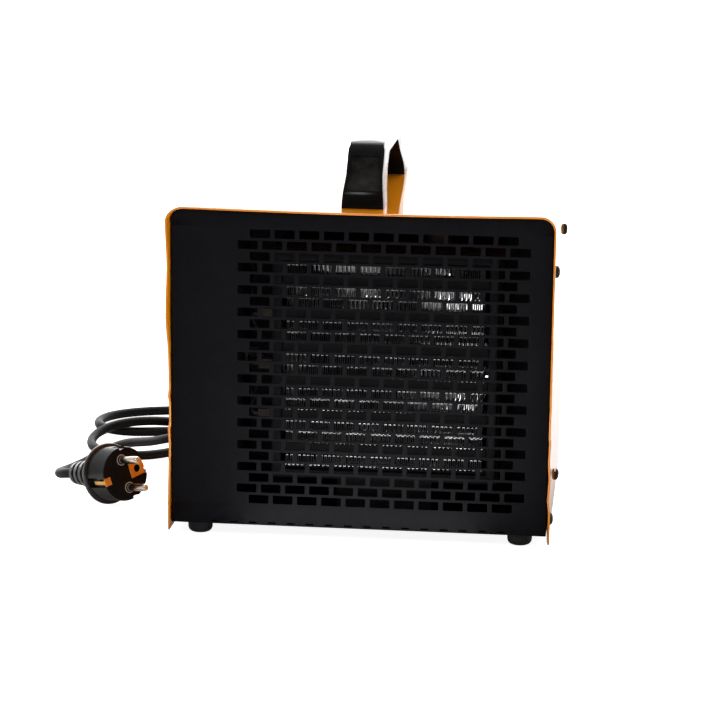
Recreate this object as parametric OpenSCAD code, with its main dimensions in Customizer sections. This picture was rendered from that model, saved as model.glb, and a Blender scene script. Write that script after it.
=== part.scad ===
// Portable ceramic fan heater: folded sheet casing over a slotted chassis,
// with carrying handle, heating block, fan, controls at the back and mains lead.
// Front faces -Y, the floor is Z = 0 and the casing is centred on X and Y.

/* [Casing] */
// Width of the casing over its side walls
case_w = 238; // [225:1:260]
// Depth of the casing from front edge to back edge
case_d = 218; // [212:1:240]
// Height of the casing's top above the floor
case_top = 209; // [205:1:230]
// Height of the side walls' lower edges above the floor
case_bottom = 4; // [2:0.5:6]
// Sheet thickness of the casing
case_t = 1.2; // [0.8:0.1:2]
// Outer radius of the casing's top bends
case_r = 9.5; // [6:0.5:14]

/* [Chassis] */
// Sheet thickness of the front, base and rear panels
panel_t = 1; // [0.8:0.1:1.5]
// How far the front panel lies behind the casing's front edge
front_recess = 4.5; // [2:0.5:10]
// How far the rear panel lies ahead of the casing's back edge
rear_recess = 32; // [30:1:36]
// Depth of the folded flanges
flange_d = 14; // [12:1:16]
// Gap between casing and chassis on each side
sheet_gap = 0.3; // [0.2:0.1:0.6]

/* [Grille] */
// Width of one air slot
slot_w = 12.4; // [8:0.2:13]
// Height of one air slot
slot_h = 5.4; // [3:0.2:6]
// Distance between slots in a row
slot_pitch_x = 15.22; // [14.6:0.02:15.6]
// Distance between rows of slots
slot_pitch_z = 7; // [6.6:0.1:7.2]
// Rows of slots in the front panel
front_rows = 25; // [11:2:25]
// Slots in a long row of the front panel
front_cols = 12; // [6:1:12]
// Rows of slots in the rear panel
rear_rows = 19; // [9:2:21]
// Slots in a long row of the rear panel
rear_cols = 10; // [6:1:11]

/* [Handle] */
// Length of the handle over its feet
handle_l = 176; // [160:1:184]
// Height of the handle above the casing
handle_h = 37.5; // [34:0.5:46]
// Width of the handle at its foot
handle_w = 25.8; // [22:0.2:32]
// Width of the grip
grip_w = 21.6; // [18:0.2:24]
// Thickness of the grip
grip_t = 9; // [7:0.5:12]
// Thickness of a leg where it stands on the casing
leg_t = 26.5; // [22:0.5:30]
// Height of the upright foot of a leg, below its slanted part
foot_rise = 9.5; // [7:0.5:12]
// How far a slanted leg leans towards the middle
leg_lean = 27; // [20:0.5:32]

/* [Feet] */
// Diameter of a rubber foot
foot_d = 16.5; // [14:0.5:22]
// Height of a rubber foot
foot_h = 8; // [7:0.5:12]
// Distance of the feet from the middle, side to side
foot_x = 100.9; // [90:0.1:104]
// Distance of the feet from the front and rear panels
foot_inset = 12; // [11:0.5:20]

/* [Heating block] */
// Width of the heating block
ptc_w = 129; // [110:1:132]
// Depth of the heating block
ptc_d = 15; // [10:1:20]
// Height of one heating bar
bar_h = 7.5; // [5:0.5:8]
// Height of one corrugated fin strip
fin_h = 6.9; // [5:0.1:7]
// Number of heating bars
bar_n = 6; // [3:1:6]
// Length of one fold of the fin strip
fin_pitch = 2.7; // [2.2:0.1:6]
// Distance from front panel to the heating block
ptc_gap = 19.5; // [12:0.5:24]

/* [Fan] */
// Radius of the fan blades
fan_r = 62; // [50:1:64]
// Number of fan blades
blade_n = 5; // [3:1:7]
// Angle of a fan blade
blade_angle = 28; // [20:1:34]
// Radius of the motor shaft
shaft_r = 2.5; // [2:0.1:3]
// Running clearance of the shaft, on the radius
run_gap = 0.05; // [0.02:0.01:0.1]

/* [Controls] */
// Radius of the knobs
knob_r = 16; // [12:0.5:17]
// Height of the thermostat above the floor
thermostat_z = 152; // [140:1:165]
// Height of the mode switch above the floor
switch_z = 100; // [90:1:110]

/* [Lead] */
// Diameter of the mains lead
lead_d = 6.6; // [6:0.1:7]
// Length of the strain relief behind the rear panel
relief_l = 30; // [24:1:31]

/* [Hidden] */
$fn = 48;
eps = 0.01;
fit = 0.3;                               // gap round fixed curved faces
seat = 0.1;                              // gap between stacked pieces

// Planes of the body
y_front = -case_d / 2;
y_rear = case_d / 2;
front_y = y_front + front_recess;
rear_y = y_rear - rear_recess;
inner_x = case_w / 2 - case_t;
flange_x = inner_x - sheet_gap;
panel_top = case_top - case_t - sheet_gap - 0.1;
base_z = foot_h;
floor_z = base_z + panel_t;              // upper face of the base sheet
corner_r = case_r - case_t - sheet_gap;
lip_y = rear_y - panel_t - seat;         // outer face of the base's rear lip
lip_h = 15;

// Centre of the air stream, which both grilles share
air_x = 13.75;
grille_z = 109;
ptc_z = 107.5;
ptc_y = front_y + ptc_gap;               // front face of the heating block

// Screws
screw_r = 1.8;
screw_hole_r = screw_r + fit;
head_r = 3.8;
head_h = 2.5;
wall_screws = [[front_y + 10, 173.3], [rear_y - 6.5, 173.3],
  [front_y + 10, 17.2], [front_y + 122, 17.2]];
rear_screw_x = [-62, 70];
rear_screw_z = floor_z + 8;

// Heating block
end_t = 2;
ptc_h = bar_n * (bar_h + 2 * (fin_h + seat / 2)) + 2 * end_t;
frame_ring = 5.7;
frame_gap = 0.2;
frame_x = ptc_w / 2 + frame_gap + frame_ring;
frame_z = ptc_h / 2 + frame_gap + frame_ring;
frame_y0 = ptc_y - 2;
frame_y1 = ptc_y + ptc_d + 2;
bar_pitch = bar_h + 2 * fin_h + seat;

// Air duct and fan plate
duct_t = 0.8;
duct_x = frame_x + fit + duct_t;
duct_z = frame_z + fit + duct_t;
plate_y = front_y + 82.5;                // front face of the fan plate
collar_r = fan_r + 4;
duct_y0 = ptc_y + 5;
divider_t = 0.8;

// Motor, placed from the rear face of its bracket
strip_y = plate_y + 24;
strip_t = 1.5;
arm_x = collar_r + 8;
motor_y = strip_y + strip_t;
stack_y0 = motor_y + 9.5;
stack_d = 22;
stack_y1 = stack_y0 + stack_d;
tail_y = stack_y1 + 7.5;
rotor_r = 15;
bore_r = shaft_r + run_gap;
motor_screw_x = 22;
motor_screw_z = 14;
fan_y = plate_y - 2;

// Controls in the closed side of the body
control_inset = 20.8;                    // from the side wall to the controls
control_x = control_inset - inner_x;
divider_x = control_x + 18;
bush_r = 4.5;
spindle_r = 3;
knob_y0 = rear_y + 4;
knob_d = 16;
spindle_end = knob_y0 + knob_d - 4;
gland_x = control_x + 1;
gland_z = 32;
gland_r = 8;
core_r = 1.05;

// Plug: centre of its flange, heading of its pins and how they point up
plug_at = [-170.8, -36.1, 19.8];
plug_turn = -42.5;
plug_lift = 11;
plug_roll = 12;
plug_r = 20;
plug_face = 18.7;
neck_l = 36;
pin_r = 2.4;
pin_l = 18.4;
pin_gap = 19;
plug_dir = [cos(plug_turn) * cos(plug_lift), sin(plug_turn) * cos(plug_lift), sin(plug_lift)];
neck_end = plug_at - neck_l * plug_dir;

// Route of the lead: out of the strain relief, down to the floor, two loose
// loops behind the body and forward to the plug
lead_r = lead_d / 2;
relief_end = rear_y + relief_l;
lead_route = [[gland_x, relief_end, gland_z], [gland_x, relief_end + 7, gland_z],
  [gland_x, relief_end + 14, gland_z], [-96, 139, 29.5], [-99, 160, 24.5], [-108, 181, 19],
  [-121, 199, 13], [-139, 213, 8],
  [-160, 219, 4], [-180, 217, 3.5], [-200, 209, 3.5], [-215, 196, 3.5],
  [-222, 176, 3.5], [-214, 155, 3.5], [-193, 145, 3.5], [-171, 151, 3.5],
  [-148, 156, 3.5], [-120, 160, 3.5], [-88, 163, 3.5], [-58, 164, 3.5],
  [-27, 162, 3.5], [-4, 171.5, 3.5], [5.5, 194.5, 3.5], [-4, 217.5, 3.5], [-27, 227, 3.5],
  [-52, 221, 3.5], [-80, 208, 3.5], [-108, 191, 3.5], [-132, 176, 4.5],
  [-152, 165, 7], [-170, 157, 10], [-187, 149, 11.2], [-203, 139, 9.8],
  [-213, 125, 6], [-213, 107, 3.5], [-202, 86, 3.5], [-184, 76, 3.5],
  [-164, 79, 3.5], [-150, 94, 3.5], [-137, 108, 3.5], [-117, 117, 3.5],
  [-87, 119, 3.5], [-45, 119, 3.5], [-5, 118, 3.5], [38, 116, 3.5], [61, 125, 3.5],
  [70.5, 147.5, 3.5], [61, 170, 3.5], [38, 179, 3.5], [17, 172, 3.5], [-3, 162, 3.5],
  [-26, 155, 3.5], [-55, 153, 3.5], [-90, 152, 3.5], [-122, 149, 3.5],
  [-148, 143, 3.5], [-162, 131, 3.5], [-170, 115, 4.5], [-177, 97, 8.5],
  [-184, 78, 11.8], [-194.5, 61, 9], [-204.5, 45, 5], [-212.5, 29.5, 4], [-215.3, 16.8, 5.4],
  [-212.6, 5, 7.8], neck_end - 14 * plug_dir, neck_end - 7 * plug_dir, neck_end];
lead_steps = 1;

// A smooth line drawn along points, starting and ending at the first and last
function first_before(p) = 2 * p[0] - p[1];
function last_after(p) = 2 * p[len(p) - 1] - p[len(p) - 2];
function guide(p) = concat([first_before(p)], p, [last_after(p)]);
function blend4(a, b, c, d, t) = (pow(1 - t, 3) * a + (3 * t * t * t - 6 * t * t + 4) * b
  + (-3 * t * t * t + 3 * t * t + 3 * t + 1) * c + t * t * t * d) / 6;
function smooth(p, n) = let (q = guide(p))
  concat([for (i = [1 : len(q) - 3], k = [0 : n - 1])
    blend4(q[i - 1], q[i], q[i + 1], q[i + 2], k / n)], [p[len(p) - 1]]);
function unit(v) = v / norm(v);
function heading(l, i) = i == 0 ? unit(l[1] - l[0])
  : i == len(l) - 1 ? unit(l[i] - l[i - 1]) : unit(l[i + 1] - l[i - 1]);
function side_of(d) = unit(cross(d, abs(d[2]) > 0.9 ? [1, 0, 0] : [0, 0, 1]));

// A tube of the given radius and number of sides along a line of points
module tube(line, r, sides) {
  rings = [for (i = [0 : len(line) - 1])
    let (d = heading(line, i), s = side_of(d), u = cross(s, d))
    for (k = [0 : sides - 1])
      line[i] + r * (cos(360 * k / sides) * s + sin(360 * k / sides) * u)];
  n = len(line);
  walls = [for (i = [0 : n - 2], k = [0 : sides - 1])
    let (a = i * sides + k, b = i * sides + (k + 1) % sides)
    each [[a, b, b + sides], [a, b + sides, a + sides]]];
  cap0 = [for (k = [1 : sides - 2]) [0, k + 1, k]];
  cap1 = [for (k = [1 : sides - 2]) let (o = (n - 1) * sides) [o, o + k, o + k + 1]];
  polyhedron(points = rings, faces = concat(walls, cap0, cap1));
}

// The least gap between stretches of the lead that lie over or beside each other
lead_line = smooth(lead_route, 2);
lead_gap = min([for (i = [0 : 2 : len(lead_line) - 12], j = [i + 10 : len(lead_line) - 1])
  norm(lead_line[i] - lead_line[j])]) - lead_d;
lead_length = let (l = smooth(lead_route, 6))
  [for (i = 1, s = 0; i <= len(l); s = s + (i < len(l) ? norm(l[i] - l[i - 1]) : 0), i = i + 1) s];
echo(lead_gap = lead_gap, lead_length = lead_length[len(lead_length) - 1]);

// A cylinder along +Y from y0 to y1 at x, z
module rod_y(r, y0, y1, x = 0, z = 0) {
  translate([x, y0, z]) rotate([-90, 0, 0]) cylinder(r = r, h = y1 - y0);
}

// A cylinder along +X from x0 to x1 at y, z
module rod_x(r, x0, x1, y, z) {
  translate([x0, y, z]) rotate([0, 90, 0]) cylinder(r = r, h = x1 - x0);
}

// A block between two corners
module block(a, b) {
  translate(a) cube(b - a);
}

// A flat outline in X and Z made into a sheet that starts at y and is t thick
module sheet_y(y, t) {
  translate([0, y + t, 0]) rotate([90, 0, 0]) linear_extrude(t) children();
}

// Outline with two round top corners
module arch(half, z0, z1, r) {
  translate([-half, z0]) square([2 * half, z1 - z0 - r]);
  translate([r - half, z0]) square([2 * (half - r), z1 - z0]);
  for (s = [-1, 1]) translate([s * (half - r), z1 - r]) circle(r = r);
}

// Staggered air slots round the grille's centre
module slots(rows, cols) {
  for (row = [0 : rows - 1]) {
    n = row % 2 == 0 ? cols - 1 : cols;
    for (i = [0 : n - 1])
      translate([air_x + (i - (n - 1) / 2) * slot_pitch_x,
        grille_z + (row - (rows - 1) / 2) * slot_pitch_z])
        square([slot_w, slot_h], center = true);
  }
}

// Round-headed screw along +Z: its head's seat is at 0 and the shank goes down
module screw(length, r = screw_r, head = head_r, tall = head_h) {
  rotate_extrude() polygon(concat([[0, -length], [r, -length], [r, 0], [head, 0],
    [head, 0.35 * tall]], [for (a = [15 : 15 : 90])
    [head * cos(a), 0.35 * tall + 0.65 * tall * sin(a)]]));
}

// Holes through both side walls where the casing screws pass
module wall_holes(x0, x1, picked = [0, 1, 2, 3]) {
  for (i = picked, s = [-1, 1])
    rod_x(screw_hole_r, s > 0 ? x0 : -x1, s > 0 ? x1 : -x0, wall_screws[i][0], wall_screws[i][1]);
}

// The handle sits a little to the left and ahead of the middle
handle_x = -1;
handle_y = -2.8;
handle_foot_y = handle_l / 2 - 15;
handle_head_r = 4;

module casing() {
  color("orange") difference() {
    sheet_y(y_front, case_d) difference() {
      arch(case_w / 2, case_bottom, case_top, case_r);
      arch(inner_x, case_bottom - 1, case_top - case_t, case_r - case_t);
    }
    wall_holes(inner_x - 1, case_w / 2 + 1);
    for (s = [-1, 1]) translate([handle_x, handle_y + s * handle_foot_y, case_top - case_t - 1])
      cylinder(r = screw_hole_r, h = case_t + 2);
  }
}

dash_n = 16;
dash_pitch = 12;
dash_w = 5;
dash_h = 1;

module front_and_base() {
  color("dimgray") difference() {
    union() {
      sheet_y(front_y, panel_t) difference() {
        arch(flange_x, base_z, panel_top, corner_r);
        slots(front_rows, front_cols);
        for (i = [0 : dash_n - 1])
          translate([(i - (dash_n - 1) / 2) * dash_pitch - dash_w / 2, floor_z + 0.3])
            square([dash_w, dash_h]);
      }
      block([-flange_x, front_y, base_z], [flange_x, lip_y, floor_z]);
      block([-flange_x, lip_y - panel_t, base_z], [flange_x, lip_y, floor_z + lip_h]);
      block([corner_r - flange_x, front_y, panel_top - panel_t],
        [flange_x - corner_r, front_y + flange_d - 2, panel_top]);
      for (s = [0, 1]) mirror([s, 0, 0]) {
        block([flange_x - panel_t, front_y, base_z],
          [flange_x, front_y + flange_d, panel_top - corner_r - 2]);
        block([flange_x - panel_t, front_y + flange_d + 2, base_z],
          [flange_x, lip_y, floor_z + lip_h]);
      }
    }
    wall_holes(flange_x - panel_t - 1, flange_x + 1, [0, 2, 3]);
    for (x = rear_screw_x) rod_y(screw_hole_r, lip_y - panel_t - 1, lip_y + 1, x, rear_screw_z);
    rod_y(gland_r + 5, lip_y - panel_t - 1, lip_y + 1, gland_x, gland_z);
    foot_places() translate([0, 0, base_z - 1]) cylinder(r = screw_hole_r, h = panel_t + 2);
    translate([control_x, earth_y, base_z - 1]) cylinder(r = screw_hole_r, h = panel_t + 2);
  }
}

module rear_panel() {
  color("dimgray") difference() {
    union() {
      sheet_y(rear_y - panel_t, panel_t) difference() {
        arch(flange_x, base_z, panel_top, corner_r);
        slots(rear_rows, rear_cols);
      }
      block([corner_r - flange_x, rear_y - flange_d + 2, panel_top - panel_t],
        [flange_x - corner_r, rear_y, panel_top]);
      for (s = [0, 1]) mirror([s, 0, 0])
        block([flange_x - panel_t, rear_y - flange_d, floor_z + lip_h + 2],
          [flange_x, rear_y, panel_top - corner_r - 2]);
    }
    wall_holes(flange_x - panel_t - 1, flange_x + 1, [1]);
    for (x = rear_screw_x) rod_y(screw_hole_r, rear_y - panel_t - 1, rear_y + 1, x, rear_screw_z);
    for (z = [thermostat_z, switch_z])
      rod_y(bush_r + fit, rear_y - panel_t - 1, rear_y + 1, control_x, z);
    rod_y(gland_r + fit, rear_y - panel_t - 1, rear_y + 1, gland_x, gland_z);
    translate([handle_x, handle_y + handle_foot_y, panel_top - panel_t - 1])
      cylinder(r = handle_head_r + 0.6, h = panel_t + 2);
  }
}

module divider() {
  color("silver") difference() {
    union() {
      block([divider_x - divider_t, front_y + panel_t + seat, floor_z],
        [divider_x, lip_y - panel_t - seat, panel_top - panel_t - 1]);
      block([divider_x - 10, front_y + flange_d + 4, floor_z],
        [divider_x, lip_y - panel_t - 4, floor_z + divider_t]);
    }
    for (h = grommet_places)
      rod_x(grommet_r + fit, divider_x - divider_t - 1, divider_x + 1, h[0], h[1]);
  }
}

grommet_r = 5;
grommet_places = [[ptc_y + 40, 107], [lip_y - 30, 42]];

module grommets() {
  color("black") for (h = grommet_places) difference() {
    union() {
      rod_x(grommet_r, divider_x - divider_t - 2, divider_x + 2, h[0], h[1]);
      rod_x(grommet_r + 2, divider_x + 0.05, divider_x + 2, h[0], h[1]);
      rod_x(grommet_r + 2, divider_x - divider_t - 2, divider_x - divider_t - 0.05, h[0], h[1]);
    }
    rod_x(grommet_r - 1.2, divider_x - divider_t - 3, divider_x + 3, h[0], h[1]);
  }
}

module fan_plate() {
  edge = flange_x - panel_t - 0.5;
  color("silver") difference() {
    union() {
      sheet_y(plate_y, divider_t) intersection() {
        arch(edge, floor_z, panel_top - panel_t - 1, corner_r);
        translate([divider_x + seat, floor_z]) square([2 * edge, case_top]);
      }
      block([divider_x + seat, plate_y, floor_z], [edge, plate_y + 11, floor_z + divider_t]);
      rod_y(collar_r + duct_t, plate_y - 14, plate_y, air_x, ptc_z);
    }
    rod_y(collar_r, plate_y - 15, plate_y + 2, air_x, ptc_z);
  }
}

module box_ring(hx, hz, t, y0, y1) {
  difference() {
    block([air_x - hx, y0, ptc_z - hz], [air_x + hx, y1, ptc_z + hz]);
    block([air_x - hx + t, y0 - 1, ptc_z - hz + t], [air_x + hx - t, y1 + 1, ptc_z + hz - t]);
  }
}

module air_duct() {
  color("gainsboro") {
    box_ring(duct_x, duct_z, duct_t, duct_y0, plate_y);
    box_ring(duct_x + 7, duct_z + 7, 7, plate_y - duct_t, plate_y);
  }
}

module duct_bracket() {
  low = ptc_z - duct_z;
  y0 = duct_y0 + 4;
  color("silver") {
    block([air_x - 30, y0, floor_z], [air_x + 30, y0 + 14, floor_z + 1]);
    block([air_x - 30, y0, floor_z], [air_x + 30, y0 + 1, low]);
    block([air_x - 30, y0, low - 1], [air_x + 30, y0 + 14, low]);
  }
}

// Points along an arc of radius r about c
function arc_points(c, r, a0, a1, n) =
  [for (i = [0 : n]) c + r * [cos(a0 + (a1 - a0) * i / n), sin(a0 + (a1 - a0) * i / n)]];

// A corner at b between the lines from a and to c, rounded to radius r
function corner(a, b, c, r, n) = let (
  u = unit(a - b), v = unit(c - b),
  half = acos(u * v) / 2, mid = b + unit(u + v) * r / sin(half),
  p = b + u * r / tan(half), q = b + v * r / tan(half),
  a0 = atan2(p[1] - mid[1], p[0] - mid[0]), a1 = atan2(q[1] - mid[1], q[0] - mid[0]),
  turn = a1 - a0 > 180 ? a1 - a0 - 360 : a1 - a0 < -180 ? a1 - a0 + 360 : a1 - a0)
  arc_points(mid, r, a0, a0 + turn, n);

// Handle outline seen from the side, from the front foot to the middle
handle_out = handle_l / 2;
handle_in = handle_out - leg_t;
leg_rise = handle_h - foot_rise - 2;
handle_base = [-handle_out, 0];
handle_crease = [-handle_out + 1.8, foot_rise];
handle_shoulder = [-handle_out + leg_lean, handle_h];
throat_low = [-handle_in, foot_rise - 2.5];
throat_high = [-handle_in + leg_lean + 4, handle_h - grip_t - 0.8];

function flipped(p) = [for (i = [len(p) - 1 : -1 : 0]) [-p[i][0], p[i][1]]];

module handle_side() {
  outer = concat([handle_base], corner(handle_base, handle_crease, handle_shoulder, 9, 4),
    corner(handle_crease, handle_shoulder, [0, handle_h], 12, 6));
  throat = concat(corner([0, throat_high[1]], throat_high, throat_low, 16, 5),
    corner(throat_high, throat_low, [-handle_in, 0], 8, 4), [[-handle_in, 0]]);
  polygon(concat(outer, flipped(outer), flipped(throat), throat));
}

// Handle outline seen from the front
module handle_front() {
  crown = 1.6;
  crown_r = 44;
  spread = asin((grip_w / 2 - 1.6) / crown_r);
  half = [[-handle_w / 2, 0], [-handle_w / 2, 2.5], [-handle_w / 2 + 0.6, foot_rise],
    [-grip_w / 2 - 0.5, foot_rise + 9], [-grip_w / 2, handle_h - crown - 3]];
  polygon(concat(half, arc_points([0, handle_h - crown_r], crown_r, 90 + spread, 90 - spread, 8),
    flipped(half)));
}

handle_slope = atan2(handle_shoulder[1] - handle_crease[1], handle_shoulder[0] - handle_crease[0]);

module handle() {
  hole_r = screw_r + fit;
  color("black") translate([handle_x, handle_y, 0]) difference() {
    intersection() {
      translate([-handle_w / 2, 0, case_top]) rotate([90, 0, 90])
        linear_extrude(handle_w) handle_side();
      translate([0, handle_l / 2, case_top]) rotate([90, 0, 0])
        linear_extrude(handle_l) handle_front();
    }
    for (s = [0, 1]) mirror([0, s, 0]) {
      translate([0, handle_crease[0], case_top + handle_crease[1]]) rotate([handle_slope, 0, 0])
        translate([-grip_w / 2 + 2.2, 3.5, -1.4]) cube([grip_w - 4.4, 24, 8]);
      translate([0, handle_foot_y, case_top - eps]) cylinder(r = hole_r, h = 9);
    }
  }
}

module handle_screws() {
  color("gray") for (s = [-1, 1])
    translate([handle_x, handle_y + s * handle_foot_y, case_top - case_t]) mirror([0, 0, 1])
      screw(9, screw_r, handle_head_r, 2.4);
}

module casing_screws() {
  color([0.2, 0.17, 0.15]) for (w = wall_screws, s = [0, 1])
    mirror([s, 0, 0]) translate([case_w / 2, w[0], w[1]]) rotate([0, 90, 0]) screw(9);
}

module rear_screws() {
  color([0.2, 0.17, 0.15]) for (x = rear_screw_x)
    translate([x, rear_y, rear_screw_z]) rotate([-90, 0, 0]) screw(8);
}

module foot_places() {
  for (x = [-foot_x, foot_x], y = [front_y + foot_inset, rear_y - foot_inset])
    translate([x, y, 0]) children();
}

foot_bore_r = 4;

module feet() {
  rim = 2.2;
  color([0.1, 0.1, 0.1]) foot_places() rotate_extrude() polygon(concat(
    [[screw_hole_r, foot_h], [screw_hole_r, 4.2], [foot_bore_r, 4.2], [foot_bore_r, 0]],
    arc_points([foot_d / 2 - 3.2, 3], 3, -90, 0, 5),
    [[foot_d / 2, foot_h - rim], [foot_d / 2, foot_h - 0.8], [foot_d / 2 - 0.8, foot_h]]));
}

module foot_screws() {
  color("gray") foot_places() translate([0, 0, 4.2]) mirror([0, 0, 1])
    screw(foot_h - 4.2 + panel_t + 5, screw_r, foot_bore_r - 0.4, 2.2);
}

module ptc_frame() {
  color([0.12, 0.12, 0.12]) difference() {
    block([air_x - frame_x, frame_y0, ptc_z - frame_z], [air_x + frame_x, frame_y1, ptc_z + frame_z]);
    block([air_x - ptc_w / 2 - frame_gap, frame_y0 - 1, ptc_z - ptc_h / 2 - frame_gap],
      [air_x + ptc_w / 2 + frame_gap, frame_y1 + 1, ptc_z + ptc_h / 2 + frame_gap]);
  }
}

module ptc_bars() {
  color("gray") {
    for (i = [0 : bar_n - 1]) translate([air_x, ptc_y, ptc_z + (i - (bar_n - 1) / 2) * bar_pitch])
      block([-ptc_w / 2, 0, -bar_h / 2], [ptc_w / 2, ptc_d, bar_h / 2]);
    for (s = [-1, 1]) translate([air_x, ptc_y, ptc_z + s * (ptc_h - end_t) / 2])
      block([-ptc_w / 2, 0, -end_t / 2], [ptc_w / 2, ptc_d, end_t / 2]);
  }
}

// One corrugated strip, folded up and down along X
module fin_strip() {
  n = floor((ptc_w - 4) / fin_pitch);
  t = 0.5;
  lift = fin_h - t;
  top = [for (i = [0 : 2 * n]) [(i - n) * fin_pitch / 2, i % 2 == 0 ? t : lift + t]];
  low = [for (i = [2 * n : -1 : 0]) [(i - n) * fin_pitch / 2, i % 2 == 0 ? 0 : lift]];
  translate([air_x, ptc_y + ptc_d, -fin_h / 2]) rotate([90, 0, 0])
    linear_extrude(ptc_d) polygon(concat(top, low));
}

module ptc_fins() {
  color("gainsboro") for (i = [0 : bar_n - 1], s = [-1, 1])
    translate([0, 0, ptc_z + (i - (bar_n - 1) / 2) * bar_pitch + s * (bar_h + fin_h) / 2])
      fin_strip();
}

module ptc_terminals() {
  x1 = air_x - frame_x;
  color("goldenrod") for (z = [-32, 0, 32])
    block([x1 - 9, frame_y0 + 2, ptc_z + z - 3.1], [x1, frame_y0 + 2.8, ptc_z + z + 3.1]);
}

module thermal_cutout() {
  at = [air_x + 30, plate_y - 28, ptc_z + duct_z];
  color("peru") translate(at) {
    cylinder(r = 8, h = 7);
    block([-12, -4, 0], [12, 4, 0.8]);
    for (s = [-1, 1]) translate([s * 4 - 0.4, -2.5, 7]) cube([0.8, 5, 7]);
  }
}

module motor_bracket() {
  y1 = plate_y + divider_t;
  color("silver") difference() {
    union() {
      block([air_x - arm_x, strip_y, ptc_z - 20], [air_x + arm_x, strip_y + strip_t, ptc_z + 20]);
      for (s = [0, 1]) translate([air_x, 0, 0]) mirror([s, 0, 0]) {
        block([arm_x - strip_t, y1, ptc_z - 20], [arm_x, strip_y + strip_t, ptc_z + 20]);
        block([arm_x - strip_t, y1, ptc_z - 20], [arm_x + 9, y1 + strip_t, ptc_z + 20]);
      }
    }
    rod_y(8, strip_y - 1, strip_y + 3, air_x, ptc_z);
    motor_holes(strip_y - 1, strip_y + 3);
  }
}

module motor_holes(y0, y1) {
  for (s = [-1, 1]) rod_y(screw_hole_r, y0, y1, air_x + s * motor_screw_x, ptc_z + s * motor_screw_z);
}

module motor_stator() {
  color("darkgray") difference() {
    translate([air_x, 0, ptc_z])
      block([-28, stack_y0, -42], [28, stack_y1, 22]);
    rod_y(rotor_r + 0.5, stack_y0 - 1, stack_y1 + 1, air_x, ptc_z);
    translate([air_x, 0, ptc_z]) block([-16, stack_y0 - 1, -32], [16, stack_y1 + 1, -20]);
    motor_holes(stack_y0 - 1, stack_y1 + 1);
  }
}

module motor_coil() {
  color("saddlebrown") translate([air_x, 0, ptc_z]) difference() {
    block([-15, stack_y0 - 8, -51], [15, stack_y1 + 8, -22]);
    block([-16, stack_y0 - 0.2, -42.2], [16, stack_y1 + 0.2, -31.8]);
  }
}

// A bearing bridge over the rotor: a bar with two legs and a bored boss
module bearing_bridge(y0, y1, leg0, leg1, boss0, boss1) {
  difference() {
    union() {
      translate([air_x, 0, ptc_z]) {
        block([-27, y0, -8], [27, y1, 8]);
        for (s = [0, 1]) mirror([s, 0, 0]) block([18, leg0, -19], [27, leg1, 19]);
      }
      rod_y(6, boss0, boss1, air_x, ptc_z);
    }
    rod_y(bore_r, boss0 - 1, boss1 + 1, air_x, ptc_z);
    motor_holes(leg0 - 1, leg1 + 1);
  }
}

module motor_front_bearing() {
  color("lightgray") bearing_bridge(motor_y, motor_y + 2, motor_y, stack_y0, motor_y, motor_y + 7);
}

module motor_rear_bearing() {
  color("lightgray") bearing_bridge(tail_y - 2, tail_y, stack_y1, tail_y, tail_y - 6, tail_y + 1);
}

module motor_screws() {
  color("gray") for (s = [-1, 1])
    translate([air_x + s * motor_screw_x, tail_y, ptc_z + s * motor_screw_z]) rotate([-90, 0, 0])
      screw(tail_y - strip_y + 4);
}

module motor_rotor() {
  color("silver") {
    rod_y(shaft_r, fan_y - 12, tail_y + 3, air_x, ptc_z);
    rod_y(rotor_r, stack_y0 + 0.5, stack_y1 - 0.5, air_x, ptc_z);
  }
}

module fan_blade() {
  hub_r = 9;
  color("lightsteelblue") difference() {
    union() {
      rod_y(hub_r, fan_y - 8, fan_y + 6, air_x, ptc_z);
      intersection() {
        rod_y(fan_r, fan_y - 12, fan_y + 12, air_x, ptc_z);
        for (i = [0 : blade_n - 1]) translate([air_x, fan_y, ptc_z])
          rotate([90 - blade_angle, 360 * i / blade_n, 0]) translate([0, 0, -0.6])
          linear_extrude(1.2) polygon([[hub_r - 3, -4], [hub_r + 5, -7], [24, -16],
            [fan_r, -21], [fan_r + 4, 0], [fan_r, 19], [26, 13], [hub_r + 5, 6], [hub_r - 3, 4]]);
      }
    }
    rod_y(shaft_r + 0.02, fan_y - 13, fan_y + 13, air_x, ptc_z);
  }
}

// A rear-panel control: body inside, threaded bush through the panel
module control_body(z, w, h, d) {
  y1 = rear_y - panel_t - seat;
  difference() {
    union() {
      block([control_x - w / 2, y1 - d, z - h / 2], [control_x + w / 2, y1, z + h / 2]);
      rod_y(bush_r, y1 - 1, rear_y + 3.6, control_x, z);
    }
    rod_y(spindle_r + run_gap, y1 - d / 2, rear_y + 5, control_x, z);
  }
}

module spindle(z, d) {
  rod_y(spindle_r, rear_y - panel_t - seat - d / 2 + 0.3, spindle_end, control_x, z);
}

module knob(z) {
  difference() {
    union() {
      rod_y(knob_r, knob_y0, knob_y0 + 4, control_x, z);
      rod_y(knob_r - 3, knob_y0 + 4, knob_y0 + knob_d, control_x, z);
      for (a = [0 : 30 : 330]) translate([control_x, 0, z]) rotate([0, a, 0])
        block([knob_r - 4, knob_y0 + 3, -1.4], [knob_r - 1.2, knob_y0 + knob_d - 1, 1.4]);
      block([control_x - 1, knob_y0 + 3, z + knob_r - 6],
        [control_x + 1, knob_y0 + knob_d + 0.6, z + knob_r - 0.6]);
    }
    rod_y(spindle_r + 0.02, knob_y0 - 1, spindle_end + seat, control_x, z);
  }
}

module thermostat() {
  color("ivory") control_body(thermostat_z, 30, 30, 24);
}

module thermostat_spindle() {
  color("silver") spindle(thermostat_z, 24);
}

module thermostat_knob() {
  color("black") knob(thermostat_z);
}

module mode_switch() {
  color("darkslategray") control_body(switch_z, 28, 36, 30);
}

module switch_spindle() {
  color("silver") spindle(switch_z, 30);
}

module switch_knob() {
  color("black") knob(switch_z);
}

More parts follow.
